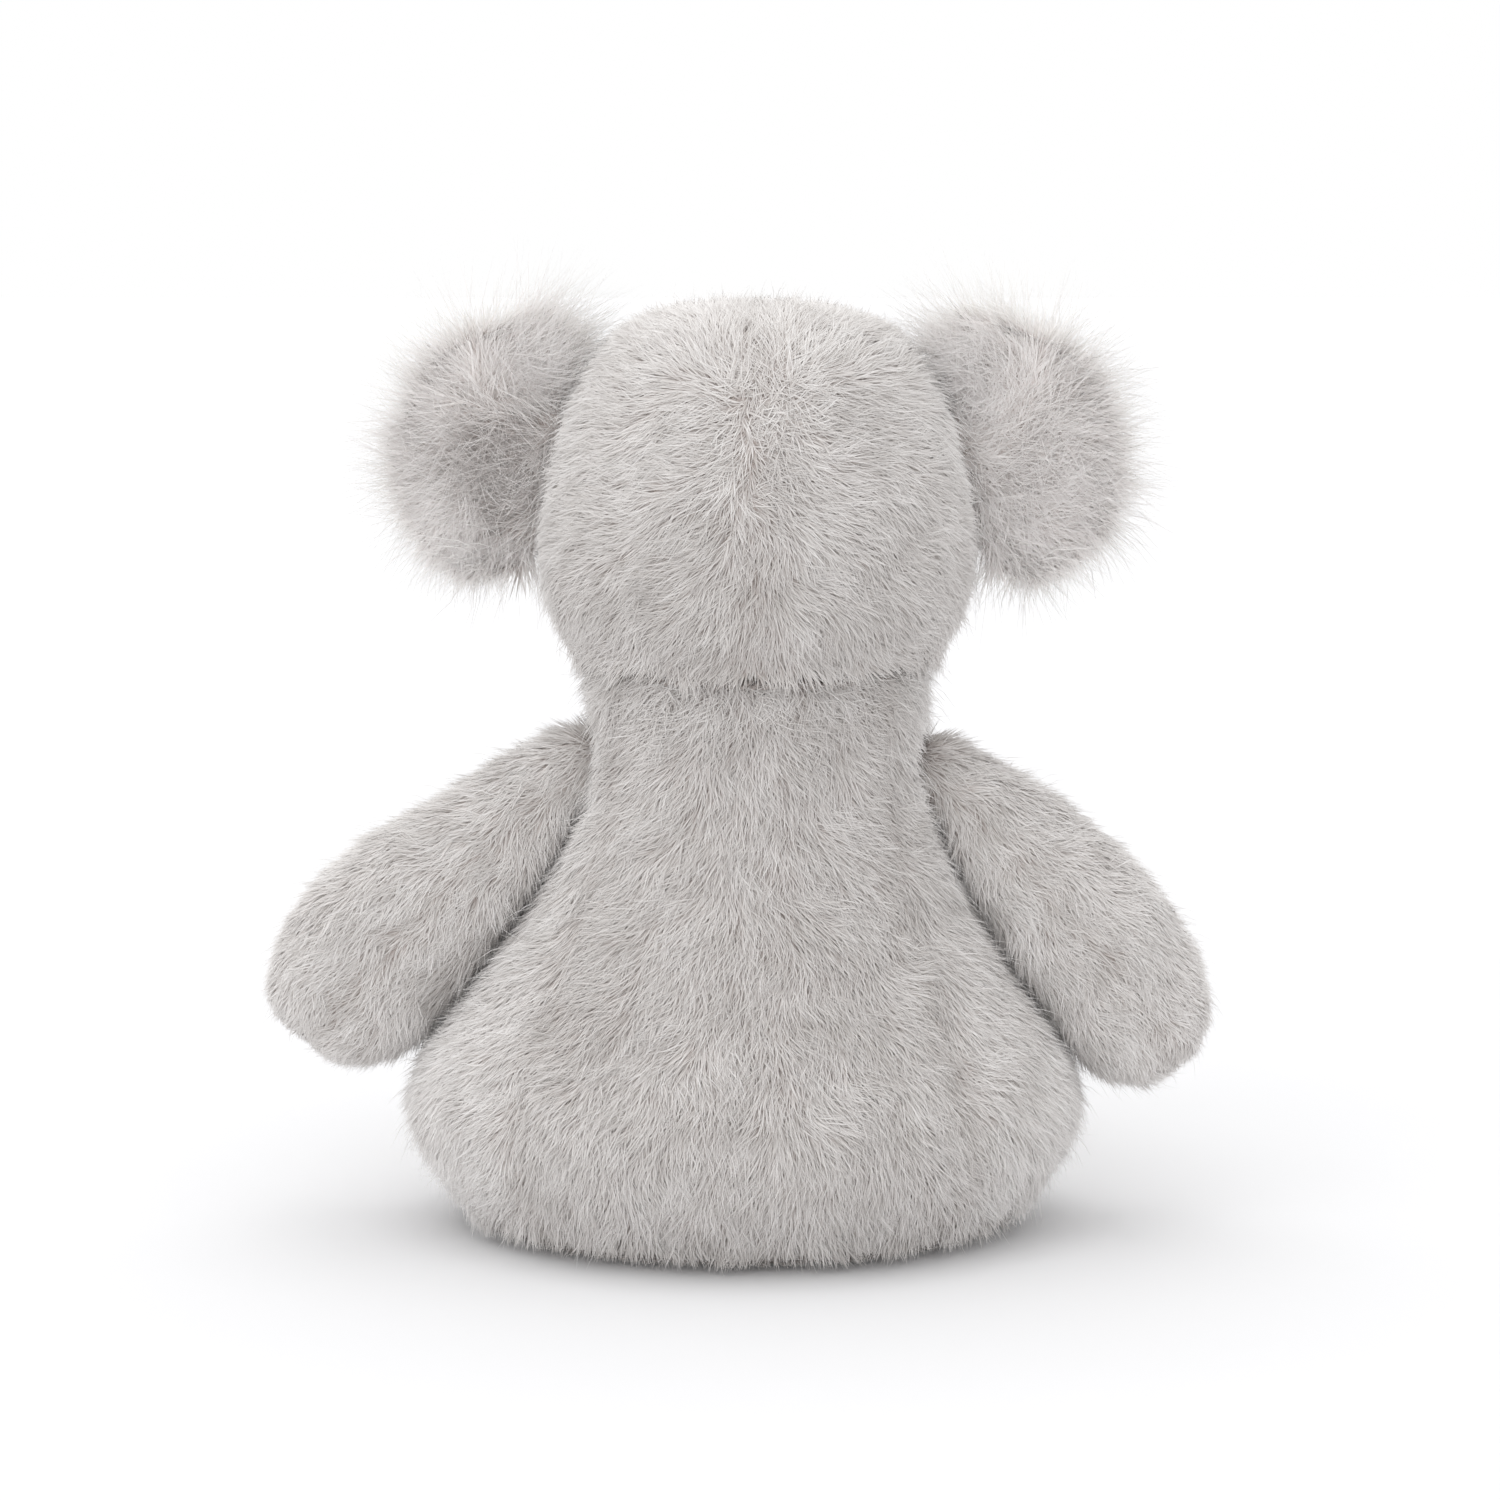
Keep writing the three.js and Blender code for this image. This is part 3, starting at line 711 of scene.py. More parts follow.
# Geometry Nodes tree that sows strands on a panel along its flow, drawn together in clumps
PILE_SIZES = (
    "Density", "Length Share", "Shortest", "Width", "Clump Size", "Clump Pull",
    "Yaw Spread", "Lift Spread", "Shade Spread", "Shade Rise", "Softness",
)
DRAWS = ("yaw", "pitch", "length", "width", "kind", "shade")
LONGEST = 1.12
WIDTH_RANGE = (0.7, 1.3)
CLUMP_LOWEST = 0.82
CLUMP_RISE = 0.36
STRAND_KINDS = 99
SHADE_RANGE = (0.03, 0.97)
MAP_HALF_WIDTH = 0.02


def pile_tree():
    sizes = dict.fromkeys(PILE_SIZES, "Float")
    inputs = {"Strands": "Collection", **sizes, "Seed": "Int", "Material": "Material"}
    tree, wiring, given = geometry_tree("plush_pile", inputs)
    maths = wiring.maths
    vector_maths = wiring.vector_maths
    scaled = wiring.scaled
    attribute = wiring.attribute

    def seed_for(use):
        return maths("ADD", given["Seed"], 1.0 + DRAWS.index(use))

    def random_between(low, high, use):
        limits = {2: low, 3: high, "Seed": seed_for(use)}
        return wiring.add("FunctionNodeRandomValue", limits, data_type="FLOAT").outputs[1]

    def centred(amount, use):
        return maths("MULTIPLY", random_between(-1.0, 1.0, use), amount)

    density = maths("MULTIPLY", given["Density"], attribute("cover"))
    sown = wiring.add(
        "GeometryNodeDistributePointsOnFaces",
        {"Mesh": given["Geometry"], "Density": density, "Seed": given["Seed"]},
    )
    place = wiring.add("GeometryNodeInputPosition").outputs[0]
    clump_scale = maths("DIVIDE", 1.0, given["Clump Size"])
    clump = wiring.add("ShaderNodeTexVoronoi", {"Vector": place, "Scale": clump_scale}).outputs
    clump_look = wiring.add("FunctionNodeSeparateColor", {"Color": clump["Color"]}).outputs
    pull = scaled(vector_maths("SUBTRACT", clump["Position"], place), given["Clump Pull"])
    pile = maths("MULTIPLY", attribute("pile"), given["Length Share"])
    heading = vector_maths("ADD", scaled(attribute("flow", "FLOAT_VECTOR"), pile), pull)
    out = attribute("out", "FLOAT_VECTOR")
    upright = wiring.add("FunctionNodeAlignRotationToVector", {"Vector": out}, axis="Z")
    combed = wiring.add(
        "FunctionNodeAlignRotationToVector",
        {"Rotation": upright.outputs[0], "Vector": heading},
        axis="X",
        pivot_axis="Z",
    )
    clump_yaw = maths("MULTIPLY", maths("SUBTRACT", clump_look["Red"], 0.5), given["Yaw Spread"])
    own_yaw = maths("ADD", clump_yaw, centred(given["Yaw Spread"], "yaw"))
    yaw = maths("MULTIPLY", own_yaw, attribute("stray"))
    tilt = wiring.combined(Y=centred(given["Lift Spread"], "pitch"), Z=yaw)
    turn = wiring.add("FunctionNodeEulerToRotation", {"Euler": tilt}).outputs[0]
    turned = wiring.add(
        "FunctionNodeRotateRotation",
        {"Rotation": combed.outputs[0], "Rotate By": turn},
        rotation_space="LOCAL",
    )
    length = maths("MULTIPLY", pile, random_between(given["Shortest"], LONGEST, "length"))
    clump_rise = maths("ADD", CLUMP_LOWEST, maths("MULTIPLY", clump_look["Green"], CLUMP_RISE))
    height = maths("MULTIPLY", maths("MULTIPLY", length, attribute("lift")), clump_rise)
    width = maths("MULTIPLY", given["Width"], random_between(*WIDTH_RANGE, "width"))
    kinds = wiring.add(
        "GeometryNodeCollectionInfo",
        {"Collection": given["Strands"], "Separate Children": True, "Reset Children": True},
    )
    kind_limits = {4: 0, 5: STRAND_KINDS, "Seed": seed_for("kind")}
    kind = wiring.add("FunctionNodeRandomValue", kind_limits, data_type="INT").outputs[2]
    planted = wiring.add(
        "GeometryNodeInstanceOnPoints",
        {
            "Points": sown.outputs["Points"],
            "Instance": kinds.outputs[0],
            "Pick Instance": True,
            "Instance Index": kind,
            "Rotation": turned.outputs[0],
            "Scale": wiring.combined(X=length, Y=width, Z=height),
        },
    )
    clump_shade = maths("MULTIPLY", maths("SUBTRACT", clump_look["Blue"], 0.5), given["Shade Spread"])
    # The place's shade brings painted light and painted seam shade from the panel, and Shade Rise the under
    # pile's painted shade and the wisps' painted light
    place_shade = maths("ADD", attribute("shade"), given["Shade Rise"])
    shade = maths("ADD", maths("ADD", place_shade, clump_shade), centred(given["Shade Spread"], "shade"))
    lowest, highest = SHADE_RANGE
    clamped = wiring.add("ShaderNodeClamp", {"Value": shade, "Min": lowest, "Max": highest}).outputs[0]
    marked = wiring.stored(
        planted.outputs[0], "strand_shade", clamped, data_type="FLOAT", domain="INSTANCE"
    )
    edge = maths("MULTIPLY", attribute("across"), MAP_HALF_WIDTH)
    map_place = wiring.combined(X=maths("ADD", attribute("strand_shade"), edge), Y=attribute("along"))
    mapped = wiring.stored(
        wiring.realised(marked), "OFBake", map_place, data_type="FLOAT2", domain="CORNER"
    )
    own_normal = wiring.add("GeometryNodeInputNormal").outputs["True Normal"]
    facing = wiring.add("ShaderNodeVectorMath", {0: own_normal, 1: out}, operation="DOT_PRODUCT")
    turned_in = maths("MINIMUM", facing.outputs["Value"], 0.0)
    out_in_view = vector_maths("SUBTRACT", out, scaled(own_normal, turned_in))
    mixed = {"Factor": given["Softness"], 4: own_normal, 5: out_in_view}
    soft_normal = wiring.add("ShaderNodeMix", mixed, data_type="VECTOR").outputs[1]
    unit_normal = wiring.add("ShaderNodeVectorMath", {0: soft_normal}, operation="NORMALIZE").outputs[0]
    softened = wiring.add(
        "GeometryNodeSetMeshNormal",
        {"Mesh": mapped, "Custom Normal": unit_normal},
        mode="TANGENT_SPACE",
        domain="CORNER",
    )
    wiring.give(softened.outputs[0], given["Material"])
    return tree


PILE_TREE = pile_tree()
KEPT_ATTRIBUTES = {"position", "OFBake", "material_index", "sharp_face", "custom_normal"}
PRESS_HEIGHT = 2.2 * MM
PRESS_FLOOR = 0.25 * MM


# Pile that is pressed flat where the toy sits
def press_flat(mesh):
    points = points_of(mesh)
    low = points[:, 2] < PRESS_HEIGHT
    room = PRESS_HEIGHT - PRESS_FLOOR
    points[low, 2] = PRESS_FLOOR + room * np.exp((points[low, 2] - PRESS_HEIGHT) / room)
    set_points(mesh, points)


def sow(scalp, name, settings):
    add_tree(scalp, PILE_TREE, settings)
    mesh = evaluated_mesh(scalp)
    scalp.modifiers.clear()
    mesh.name = name
    for attribute in list(mesh.attributes):
        hidden = attribute.name.startswith(".")
        if not hidden and attribute.name not in KEPT_ATTRIBUTES and not attribute.is_required:
            mesh.attributes.remove(attribute)
    press_flat(mesh)
    return mesh


# Scalps: the faces of a skin that lie under one panel, with what the pile needs to know
def scalp_of(body, panel):
    skin = skins[body].data
    panels = BODY_PANELS[body]
    centres = np.array([face.center for face in skin.polygons])
    rows = np.array([distances(panel_trees[each], centres) for each in panels])
    mine = np.argmin(rows, axis=0) == panels.index(panel)
    faces = [tuple(face.vertices) for face, own in zip(skin.polygons, mine) if own]
    used = sorted({corner for face in faces for corner in face})
    index = {corner: i for i, corner in enumerate(used)}
    points = points_of(skin)[used]
    normals = normals_of(skin)[used]
    mesh = bpy.data.meshes.new(f"{panel}_scalp")
    mesh.from_pydata(points.tolist(), [], [tuple(index[corner] for corner in face) for face in faces])
    rest = np.array([distances(panel_trees[each], points) for each in panels if each != panel])
    return linked(f"{panel}_scalp", mesh), points, normals, rest.min(axis=0)


def set_attribute(mesh, name, values):
    if values.ndim == 2:
        mesh.attributes.new(name, "FLOAT_VECTOR", "POINT").data.foreach_set("vector", values.ravel())
    else:
        mesh.attributes.new(name, "FLOAT", "POINT").data.foreach_set("value", values)


# Flow of the pile on each panel, before it is laid along the surface
BACK_HALF_WIDTH = 36 * MM
BACK_FAN_HEIGHTS = span(20, 78)
BACK_FAN_LIMIT = 1.4
BACK_FAN_LOW = 0.3
BACK_FAN_RISE = 1.1
FLANK_ASIDE = 0.5
FLANK_FORWARD = 0.35
BELLY_WIDTH = 60 * MM
PARTING_TOP = Vector((-4.6, 34, 174)) * MM
PARTING_LOW = Vector((-0.6, 44, 152)) * MM
PARTING_WAVE = 9 * MM
PARTING_DRIFT = 9 * MM
PARTING_SOFTNESS = 7 * MM
HEAD_SEAM_X = -3.2 * MM
HEAD_FAN_WIDTH = 20 * MM
HEAD_FAN = 0.6
CROWN_DROPS = span(-2, 12)
CROWN_FALL = 0.35
NAPE_DROPS = span(14, 50)
NAPE_FALL = 0.5
MUZZLE = Vector((-2.6, -46, 142)) * MM
FACE_SWEEP = (0, 0.5, 0.1)
HAND_HEIGHT = 12 * MM
HAND_REACHES = span(52, 74)
HAND_FALL = 0.25
OUTER_ARM_FALL = -0.05
INNER_ARM_FALL = 0.6
LEG_FALL = 0.25
SOLE_FAN = 0.5
EAR_FAN_DEPTH = 12 * MM
EAR_FAN_DROP = 1 * MM
EAR_LOW_HEIGHTS = span(136, 152)
EAR_HIGH_HEIGHTS = span(162, 172)
EAR_NEAR_HEAD = span(6, 20)
EAR_LOW_TURN = 0.45
EAR_HIGH_TURN = 1.5
EAR_LOW_FALL = 0.6


def back_flow(points):
    aside = np.clip((points[:, 0] - NECK.x) / BACK_HALF_WIDTH, -BACK_FAN_LIMIT, BACK_FAN_LIMIT)
    fan = BACK_FAN_LOW + BACK_FAN_RISE * smooth_step(*BACK_FAN_HEIGHTS, points[:, 2])
    return vectors(aside * fan, 0, -1)


def flank_flow(points):
    return vectors(FLANK_ASIDE * np.sign(points[:, 0]), -FLANK_FORWARD, -1)


def belly_flow(points):
    return vectors((points[:, 0] - NECK.x) / BELLY_WIDTH, 0, -1)


def base_flow(points):
    return vectors(points[:, 0], points[:, 1], 0)


# Place along the parting that is nearest to each point
def parting_point(points):
    start = np.array(PARTING_TOP)
    along = np.array(PARTING_LOW) - start
    share = np.clip((points - start) @ along / (along @ along), 0, 1)
    return start + share[:, None] * along


def head_back_flow(points):
    drift = np.column_stack([soft_noise(points, PARTING_WAVE, use) for use in PARTING_DRIFTS])
    strayed = points + PARTING_DRIFT * drift
    away = strayed - parting_point(strayed)
    reach = np.linalg.norm(away, axis=1, keepdims=True)
    below = smooth_step(*CROWN_DROPS, PARTING_TOP.z - points[:, 2])
    lower = smooth_step(*NAPE_DROPS, PARTING_TOP.z - points[:, 2])
    lateral = np.clip((strayed[:, 0] - HEAD_SEAM_X) / HEAD_FAN_WIDTH, -1, 1) * below
    spread = away / np.hypot(reach, PARTING_SOFTNESS)
    return spread + vectors(HEAD_FAN * lateral, 0, -CROWN_FALL * below - NAPE_FALL * lower)


def face_flow(points):
    return unit_rows(points - np.array(MUZZLE)) + np.array(FACE_SWEEP)


def arm_line(side):
    low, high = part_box(f"arm_{side}_outer")
    hand = Vector((high.x if side == "left" else low.x, 0, low.z + HAND_HEIGHT))
    return (hand - pivots[f"arm_{side}_lift"]).normalized()


# How far along an arm a point lies, past the wrist
def hand_share(points):
    side = side_of(points)
    reach = (points - np.array(pivots[f"arm_{side}_lift"])) @ np.array(arm_line(side))
    return smooth_step(*HAND_REACHES, reach)


def arm_flow(side, fall):
    line = np.array(arm_line(side))

    def flow(points):
        drop = fall + (HAND_FALL - fall) * hand_share(points)
        return line + vectors(0, 0, -drop)

    return flow


def leg_line(side):
    return (middle_of(f"leg_{side}_sole") - pivots[f"leg_{side}_lift"]).normalized()


def leg_flow(side):
    line = np.array(leg_line(side))

    def flow(points):
        return np.tile(line + np.array([0, 0, -LEG_FALL]), (len(points), 1))

    return flow


def sole_flow(side):
    middle = np.array(middle_of(f"leg_{side}_sole"))

    def flow(points):
        return SOLE_FAN * unit_rows(points - middle) + np.array([0, 0, -1])

    return flow


def ear_flow(side):
    out = SIDES[side]
    middle = np.array(pivots[f"ear_{side}_fold"]) + np.array([-EAR_FAN_DEPTH * out, 0, -EAR_FAN_DROP])

    def flow(points):
        low = 1 - smooth_step(*EAR_LOW_HEIGHTS, points[:, 2])
        high = smooth_step(*EAR_HIGH_HEIGHTS, points[:, 2])
        near_head = 1 - smooth_step(*EAR_NEAR_HEAD, (points[:, 0] - middle[0]) * out - EAR_FAN_DEPTH)
        turn = EAR_LOW_TURN * low + EAR_HIGH_TURN * high * near_head
        return unit_rows(points - middle) + vectors(-out * turn, 0, -EAR_LOW_FALL * low)

    return flow


# Where pile grows: not inside a limb's socket, on the ball in the neck, or in the head's opening
COLLAR_END = span(119, 116)
SOCKET_ROOMS = {"arm": 8 * MM, "leg": 9 * MM}
LIMB_ROOM = 3 * MM
COVER_FADE = 2 * MM
OPENING_REACH = 52 * MM
OPENING_FACING = -0.6
FACE_ROOMS = {"eye_left": 5.5 * MM, "eye_right": 5.5 * MM, "nose_cover": 9 * MM}
FACE_FADE = 0.7
EAR_EDGE = span(-8, -4)


def torso_cover(points, normals):
    cover = smooth_step(*COLLAR_END, points[:, 2])
    for limb, room in SOCKET_ROOMS.items():
        for side in SIDES:
            reach = reach_from(pivots[f"{limb}_{side}_lift"], points)
            cover = cover * smooth_step(room, room + COVER_FADE, reach)
    return cover


def head_cover(points, normals):
    from_neck = points - np.array(NECK)
    inward = np.sum(unit_rows(from_neck) * normals, axis=1) < OPENING_FACING
    near = np.linalg.norm(from_neck, axis=1) < OPENING_REACH
    cover = np.where(inward & near, 0.0, 1.0)
    for node, room in FACE_ROOMS.items():
        cover = cover * smooth_step(room * FACE_FADE, room, reach_from(middle_of(node), points))
    return cover


def limb_cover(pivot):
    def cover(points, normals):
        return smooth_step(LIMB_ROOM, LIMB_ROOM + COVER_FADE, reach_from(pivot, points))

    return cover


def ear_cover(side):
    def cover(points, normals):
        outward = (points[:, 0] - pivots[f"ear_{side}_fold"].x) * SIDES[side]
        return smooth_step(*EAR_EDGE, outward)

    return cover


def full_cover(points, normals):
    return np.ones(len(points))


# Painted light and shade by place, added to each strand's own shade; on the ears also the hollows' own brown
CROWN_HEIGHTS = span(136, 172)
NAPE_HEIGHTS = span(120, 148)
HEAD_PAINTED_LIGHT = 0.12
BACK_NAPE_HEIGHTS = span(88, 110)
BACK_NAPE_PAINTED_SHADE = 0.04
BACK_RIM_HEIGHTS = span(109, 114)
BACK_RIM_PAINTED_LIGHT = 0.06
FLANK_HEIGHTS = span(40, 70)
FLANK_PAINTED_LIGHT = 0.16
EAR_HOLLOW = 8 * MM
HOLLOW_HEIGHT = 1.4
HOLLOW_REACHES = span(3, 14)
HOLLOW_BROWN_AND_PAINTED_LIGHT = {"left": -0.4, "right": 0.4}
EAR_RIM_PAINTED_GLOW = 0.46


# Painted light on the crown, which is painted lighter, and painted shade on the nape, which is painted
# darker
def head_painted_light(points):
    crown = smooth_step(*CROWN_HEIGHTS, points[:, 2])
    nape = 1 - smooth_step(*NAPE_HEIGHTS, points[:, 2])
    return HEAD_PAINTED_LIGHT * crown - HEAD_PAINTED_LIGHT * nape


# Painted shade on the back below the head, and painted light that lifts the shade at the back's rim under
# the head's edge
def back_painted_light(points):
    nape = smooth_step(*BACK_NAPE_HEIGHTS, points[:, 2])
    rim = smooth_step(*BACK_RIM_HEIGHTS, points[:, 2])
    return BACK_RIM_PAINTED_LIGHT * rim - BACK_NAPE_PAINTED_SHADE * nape


# Painted light: the lower flanks are painted lighter
def flank_painted_light(points):
    return FLANK_PAINTED_LIGHT * (1 - smooth_step(*FLANK_HEIGHTS, points[:, 2]))


# Distance from the middle of an ear's hollow, which is taller than it is wide
def hollow_reach(points):
    side = side_of(points)
    hollow = np.array(pivots[f"ear_{side}_fold"]) + np.array([SIDES[side] * EAR_HOLLOW, 0, 0])
    off = points - hollow
    return np.hypot(off[:, 0], off[:, 2] / HOLLOW_HEIGHT)


# Painted light on the ears: the rim is painted lighter as a painted glow; the left hollow is darker, partly
# the pile's own brown and partly painted shade, and the right hollow is painted lighter
def ear_brown_and_painted_light(points):
    tone = HOLLOW_BROWN_AND_PAINTED_LIGHT[side_of(points)]
    return tone + (EAR_RIM_PAINTED_GLOW - tone) * smooth_step(*HOLLOW_REACHES, hollow_reach(points))


def even_tone(points):
    return np.zeros(len(points))


PAINTED_LIGHT_AND_DYE_BY_PLACE = {"head": head_painted_light, "face": head_painted_light, "back": back_painted_light, "flank": flank_painted_light, "ear": ear_brown_and_painted_light}

# Lift of the pile: raised along the neck, and lower along the head's edge
NECK_LIFT_HEIGHTS = span(100, 111)
NECK_LIFT = 0.3
HEAD_LIFT_HEIGHTS = span(118, 128)
HEAD_EDGE_LIFT = 0.7
HEAD_LIFT_RISE = 0.3


def lift_share(kind, points):
    if kind in TORSO_SIDES:
        return 1 + NECK_LIFT * smooth_step(*NECK_LIFT_HEIGHTS, points[:, 2])
    if kind in HEAD_SIDES:
        return HEAD_EDGE_LIFT + HEAD_LIFT_RISE * smooth_step(*HEAD_LIFT_HEIGHTS, points[:, 2])
    return np.ones(len(points))


# Way out of the backing: nearly level at the lower edges of the head and the torso, where the pile hangs
HEAD_EDGE_HEIGHTS = span(119, 126)
HEAD_EDGE_LEVEL = 0.55
FOOT_EDGE_HEIGHTS = span(5, 14)
FOOT_EDGE_LEVEL = 0.7
EAR_FACINGS = {"back": (0, 1.0, 0.3), "front": (0, -1.0, 0.3)}


def way_out(panel, points, normals):
    kind = kind_of(panel)
    if kind == "ear":
        facing = np.array(EAR_FACINGS[panel.split("_")[-1]])
        return unit_rows(0.5 * normals + 0.5 * facing)
    if kind in HEAD_SIDES:
        edge = HEAD_EDGE_LEVEL * (1 - smooth_step(*HEAD_EDGE_HEIGHTS, points[:, 2]))[:, None]
    elif kind in TORSO_SIDES:
        edge = FOOT_EDGE_LEVEL * (1 - smooth_step(*FOOT_EDGE_HEIGHTS, points[:, 2]))[:, None]
    else:
        return normals
    level = unit_rows((points - np.array(NECK)) * np.array([1, 1, 0]))
    return unit_rows(normals * (1 - edge) + level * edge)


# Stray of the pile: ruffled at the whorl, along the parting, by the neck and in the ears' hollows
PARTING_REACH = 6 * MM
PARTING_STRAY = 1.5
WHORL_REACH = 7 * MM
WHORL_STRAY = 4
NECK_STRAY_HEIGHTS = span(98, 112)
EAR_STRAY_REACHES = span(6, 20)
EAR_STRAY = 2.2


def stray_share(kind, points):
    if kind == "head":
        off_parting = np.linalg.norm(points - parting_point(points), axis=1)
        parting = PARTING_STRAY * np.exp(-((off_parting / PARTING_REACH) ** 2))
        whorl = WHORL_STRAY * np.exp(-((reach_from(PARTING_TOP, points) / WHORL_REACH) ** 2))
        return 1 + parting + whorl
    if kind in ("back", "flank"):
        return 1 + smooth_step(*NECK_STRAY_HEIGHTS, points[:, 2])
    if kind == "ear":
        return 1 + EAR_STRAY * (1 - smooth_step(*EAR_STRAY_REACHES, hollow_reach(points)))
    return np.ones(len(points))


# Length of the pile: uneven beside the neck's seam and at the foot, shorter on the hands and round the nose
RUFFLE_LENGTH = 4.5 * MM
HEAD_FRAY_HEIGHTS = span(117, 127)
HEAD_FRAY = 0.5
FOOT_FRAY_HEIGHTS = span(5, 16)
FOOT_FRAY = 0.8
HAND_SHORTENING = 0.25
EAR_BOTTOM_HEIGHTS = span(134, 150)
EAR_OFF_HEAD = span(4, 18)
EAR_SHORT_REACHES = span(6, 18)
HOLLOW_LENGTH = 0.7
HOLLOW_RISE = 0.3
EAR_BOTTOM_LENGTH = 0.35
EAR_BOTTOM_CUT = 0.65
NOSE_REACHES = span(10, 34)
NOSE_LENGTH = 0.55
NOSE_RISE = 0.45


def length_share(kind, points):
    heights = points[:, 2]
    if kind == "head":
        edge = 1 - smooth_step(*HEAD_FRAY_HEIGHTS, heights)
        return 1 + HEAD_FRAY * edge * soft_noise(points, RUFFLE_LENGTH, "edge")
    if kind in TORSO_SIDES:
        edge = 1 - smooth_step(*FOOT_FRAY_HEIGHTS, heights)
        return 1 + FOOT_FRAY * edge * soft_noise(points, RUFFLE_LENGTH, "edge")
    if kind == "ear":
        fold = pivots[f"ear_{side_of(points)}_fold"]
        low = 1 - smooth_step(*EAR_BOTTOM_HEIGHTS, heights)
        off_head = smooth_step(*EAR_OFF_HEAD, np.abs(points[:, 0] - fold.x))
        upper = HOLLOW_LENGTH + HOLLOW_RISE * smooth_step(*EAR_SHORT_REACHES, hollow_reach(points))
        return upper + low * (EAR_BOTTOM_LENGTH - EAR_BOTTOM_CUT * off_head)
    if kind == "arm":
        return 1 - HAND_SHORTENING * hand_share(points)
    if kind == "face":
        reach = reach_from(middle_of("nose_cover"), points)
        return NOSE_LENGTH + NOSE_RISE * smooth_step(*NOSE_REACHES, reach)
    return np.ones(len(points))


# Pile kinds: what differs from the plain pile of the back, with densities for each square millimetre
PLAIN_PILE = {
    "length": 6.4 * MM,
    "lift": 1.0,
    "density": 3.6,
    "width": 0.36 * MM,
    "clump": 2.4 * MM,
    "yaw": math.radians(28),
    "shade": 0.2,
    # The seam value is painted shade that darkens the pile along the seams
    "seam_dark": 0.3,
    "wander": 1.0,
    "fine": 0.04,
    "wisp": 1.3,
    "shortest": 0.72,
    "contrast": 1.0,
    # The tone is painted light that lightens a whole pile
    "tone": 0.0,
}
FRONT_PILE = {
    "density": 2.8,
    "width": 0.46 * MM,
    "clump": 1.8 * MM,
    "yaw": math.radians(18),
    "shade": 0.12,
    "seam_dark": 0.2,
}
LONG_PILE = {
    "length": 10.5 * MM,
    "density": 4.6,
    "width": 0.34 * MM,
    "clump": 2.6 * MM,
    "seam_dark": 0.0,
    "fine": 0.42,
    "wisp": 2.1,
    "shortest": 0.35,
}


def pile_kind(material, slot, *shared, **own):
    values = dict(PLAIN_PILE)
    for changes in (*shared, own):
        values.update(changes)
    return SimpleNamespace(material=material, slot=slot, **values)


# The flanks, arms and legs get a tone above the plain pile's: painted light that makes them lighter
BODY_PILE = pile_kind(GREY_PILE, "grey_plush")
FLANK_PILE = pile_kind(GREY_PILE, "grey_plush", density=3.4, tone=0.05)
HEAD_PILE = pile_kind(GREY_PILE, "grey_plush", length=6.2 * MM, seam_dark=0.2)
ARM_PILE = pile_kind(
    GREY_PILE, "grey_plush", length=6.2 * MM, density=3.4, seam_dark=0.25, tone=0.16
)
FACE_PILE = pile_kind(
    GREY_PILE, "grey_plush", FRONT_PILE,
    length=5.6 * MM, density=3.0, width=0.44 * MM, yaw=math.radians(16), seam_dark=0.1,
)
BELLY_PILE = pile_kind(PALE_PILE, "pale_plush", FRONT_PILE, seam_dark=0.25)
BASE_PILE = pile_kind(
    GREY_PILE, "grey_plush", FRONT_PILE,
    length=5.6 * MM, lift=0.8, density=1.4, width=0.6 * MM, clump=2.0 * MM, yaw=math.radians(22),
)
LEG_PILE = pile_kind(GREY_PILE, "grey_plush", FRONT_PILE, length=6.0 * MM, tone=0.12)
SOLE_PILE = pile_kind(
    PALE_PILE, "pale_plush", FRONT_PILE,
    length=4.6 * MM, density=3.0, width=0.44 * MM, clump=1.6 * MM, yaw=math.radians(22), seam_dark=0.15,
)
EAR_BACK_PILE = pile_kind(
    EAR_PILE, "ear_plush", LONG_PILE,
    lift=0.9, yaw=math.radians(24), shade=0.42, wander=1.3, contrast=2.2,
)
EAR_FRONT_PILE = pile_kind(
    LINING_PILE, "ear_lining", LONG_PILE, lift=0.8, yaw=math.radians(22), shade=0.14, wander=0.9
)

PANEL_PILES = {
    "back_panel": (BODY_PILE, back_flow, torso_cover),
    "belly_panel": (BELLY_PILE, belly_flow, torso_cover),
    "flank_left": (FLANK_PILE, flank_flow, torso_cover),
    "flank_right": (FLANK_PILE, flank_flow, torso_cover),
    "base_panel": (BASE_PILE, base_flow, torso_cover),
    "face_panel": (FACE_PILE, face_flow, head_cover),
    "head_back_left": (HEAD_PILE, head_back_flow, head_cover),
    "head_back_right": (HEAD_PILE, head_back_flow, head_cover),
}
for side in SIDES:
    arm_cover = limb_cover(pivots[f"arm_{side}_lift"])
    leg_cover = limb_cover(pivots[f"leg_{side}_lift"])
    PANEL_PILES[f"arm_{side}_outer"] = (ARM_PILE, arm_flow(side, OUTER_ARM_FALL), arm_cover)
    PANEL_PILES[f"arm_{side}_inner"] = (ARM_PILE, arm_flow(side, INNER_ARM_FALL), arm_cover)
    PANEL_PILES[f"leg_{side}_skin"] = (LEG_PILE, leg_flow(side), leg_cover)
    PANEL_PILES[f"leg_{side}_sole"] = (SOLE_PILE, sole_flow(side), full_cover)
    PANEL_PILES[f"ear_{side}_back"] = (EAR_BACK_PILE, ear_flow(side), ear_cover(side))
    PANEL_PILES[f"ear_{side}_front"] = (EAR_FRONT_PILE, ear_flow(side), ear_cover(side))

# Unevenness that all pile has, the seams' hold on it, and painted shade along the seams
WANDER_LENGTH = 11 * MM
PATCH_LENGTH = 16 * MM
PATCH_SHADE = 0.14
MIDDLE_SHADE = 0.52
RUFFLE_WANDER = 0.7
RUFFLE_SHADE = 0.2
RUFFLE_RISE = 0.35
SEAM_REACH = 3.2 * MM
SEAM_SHRINK = 0.2


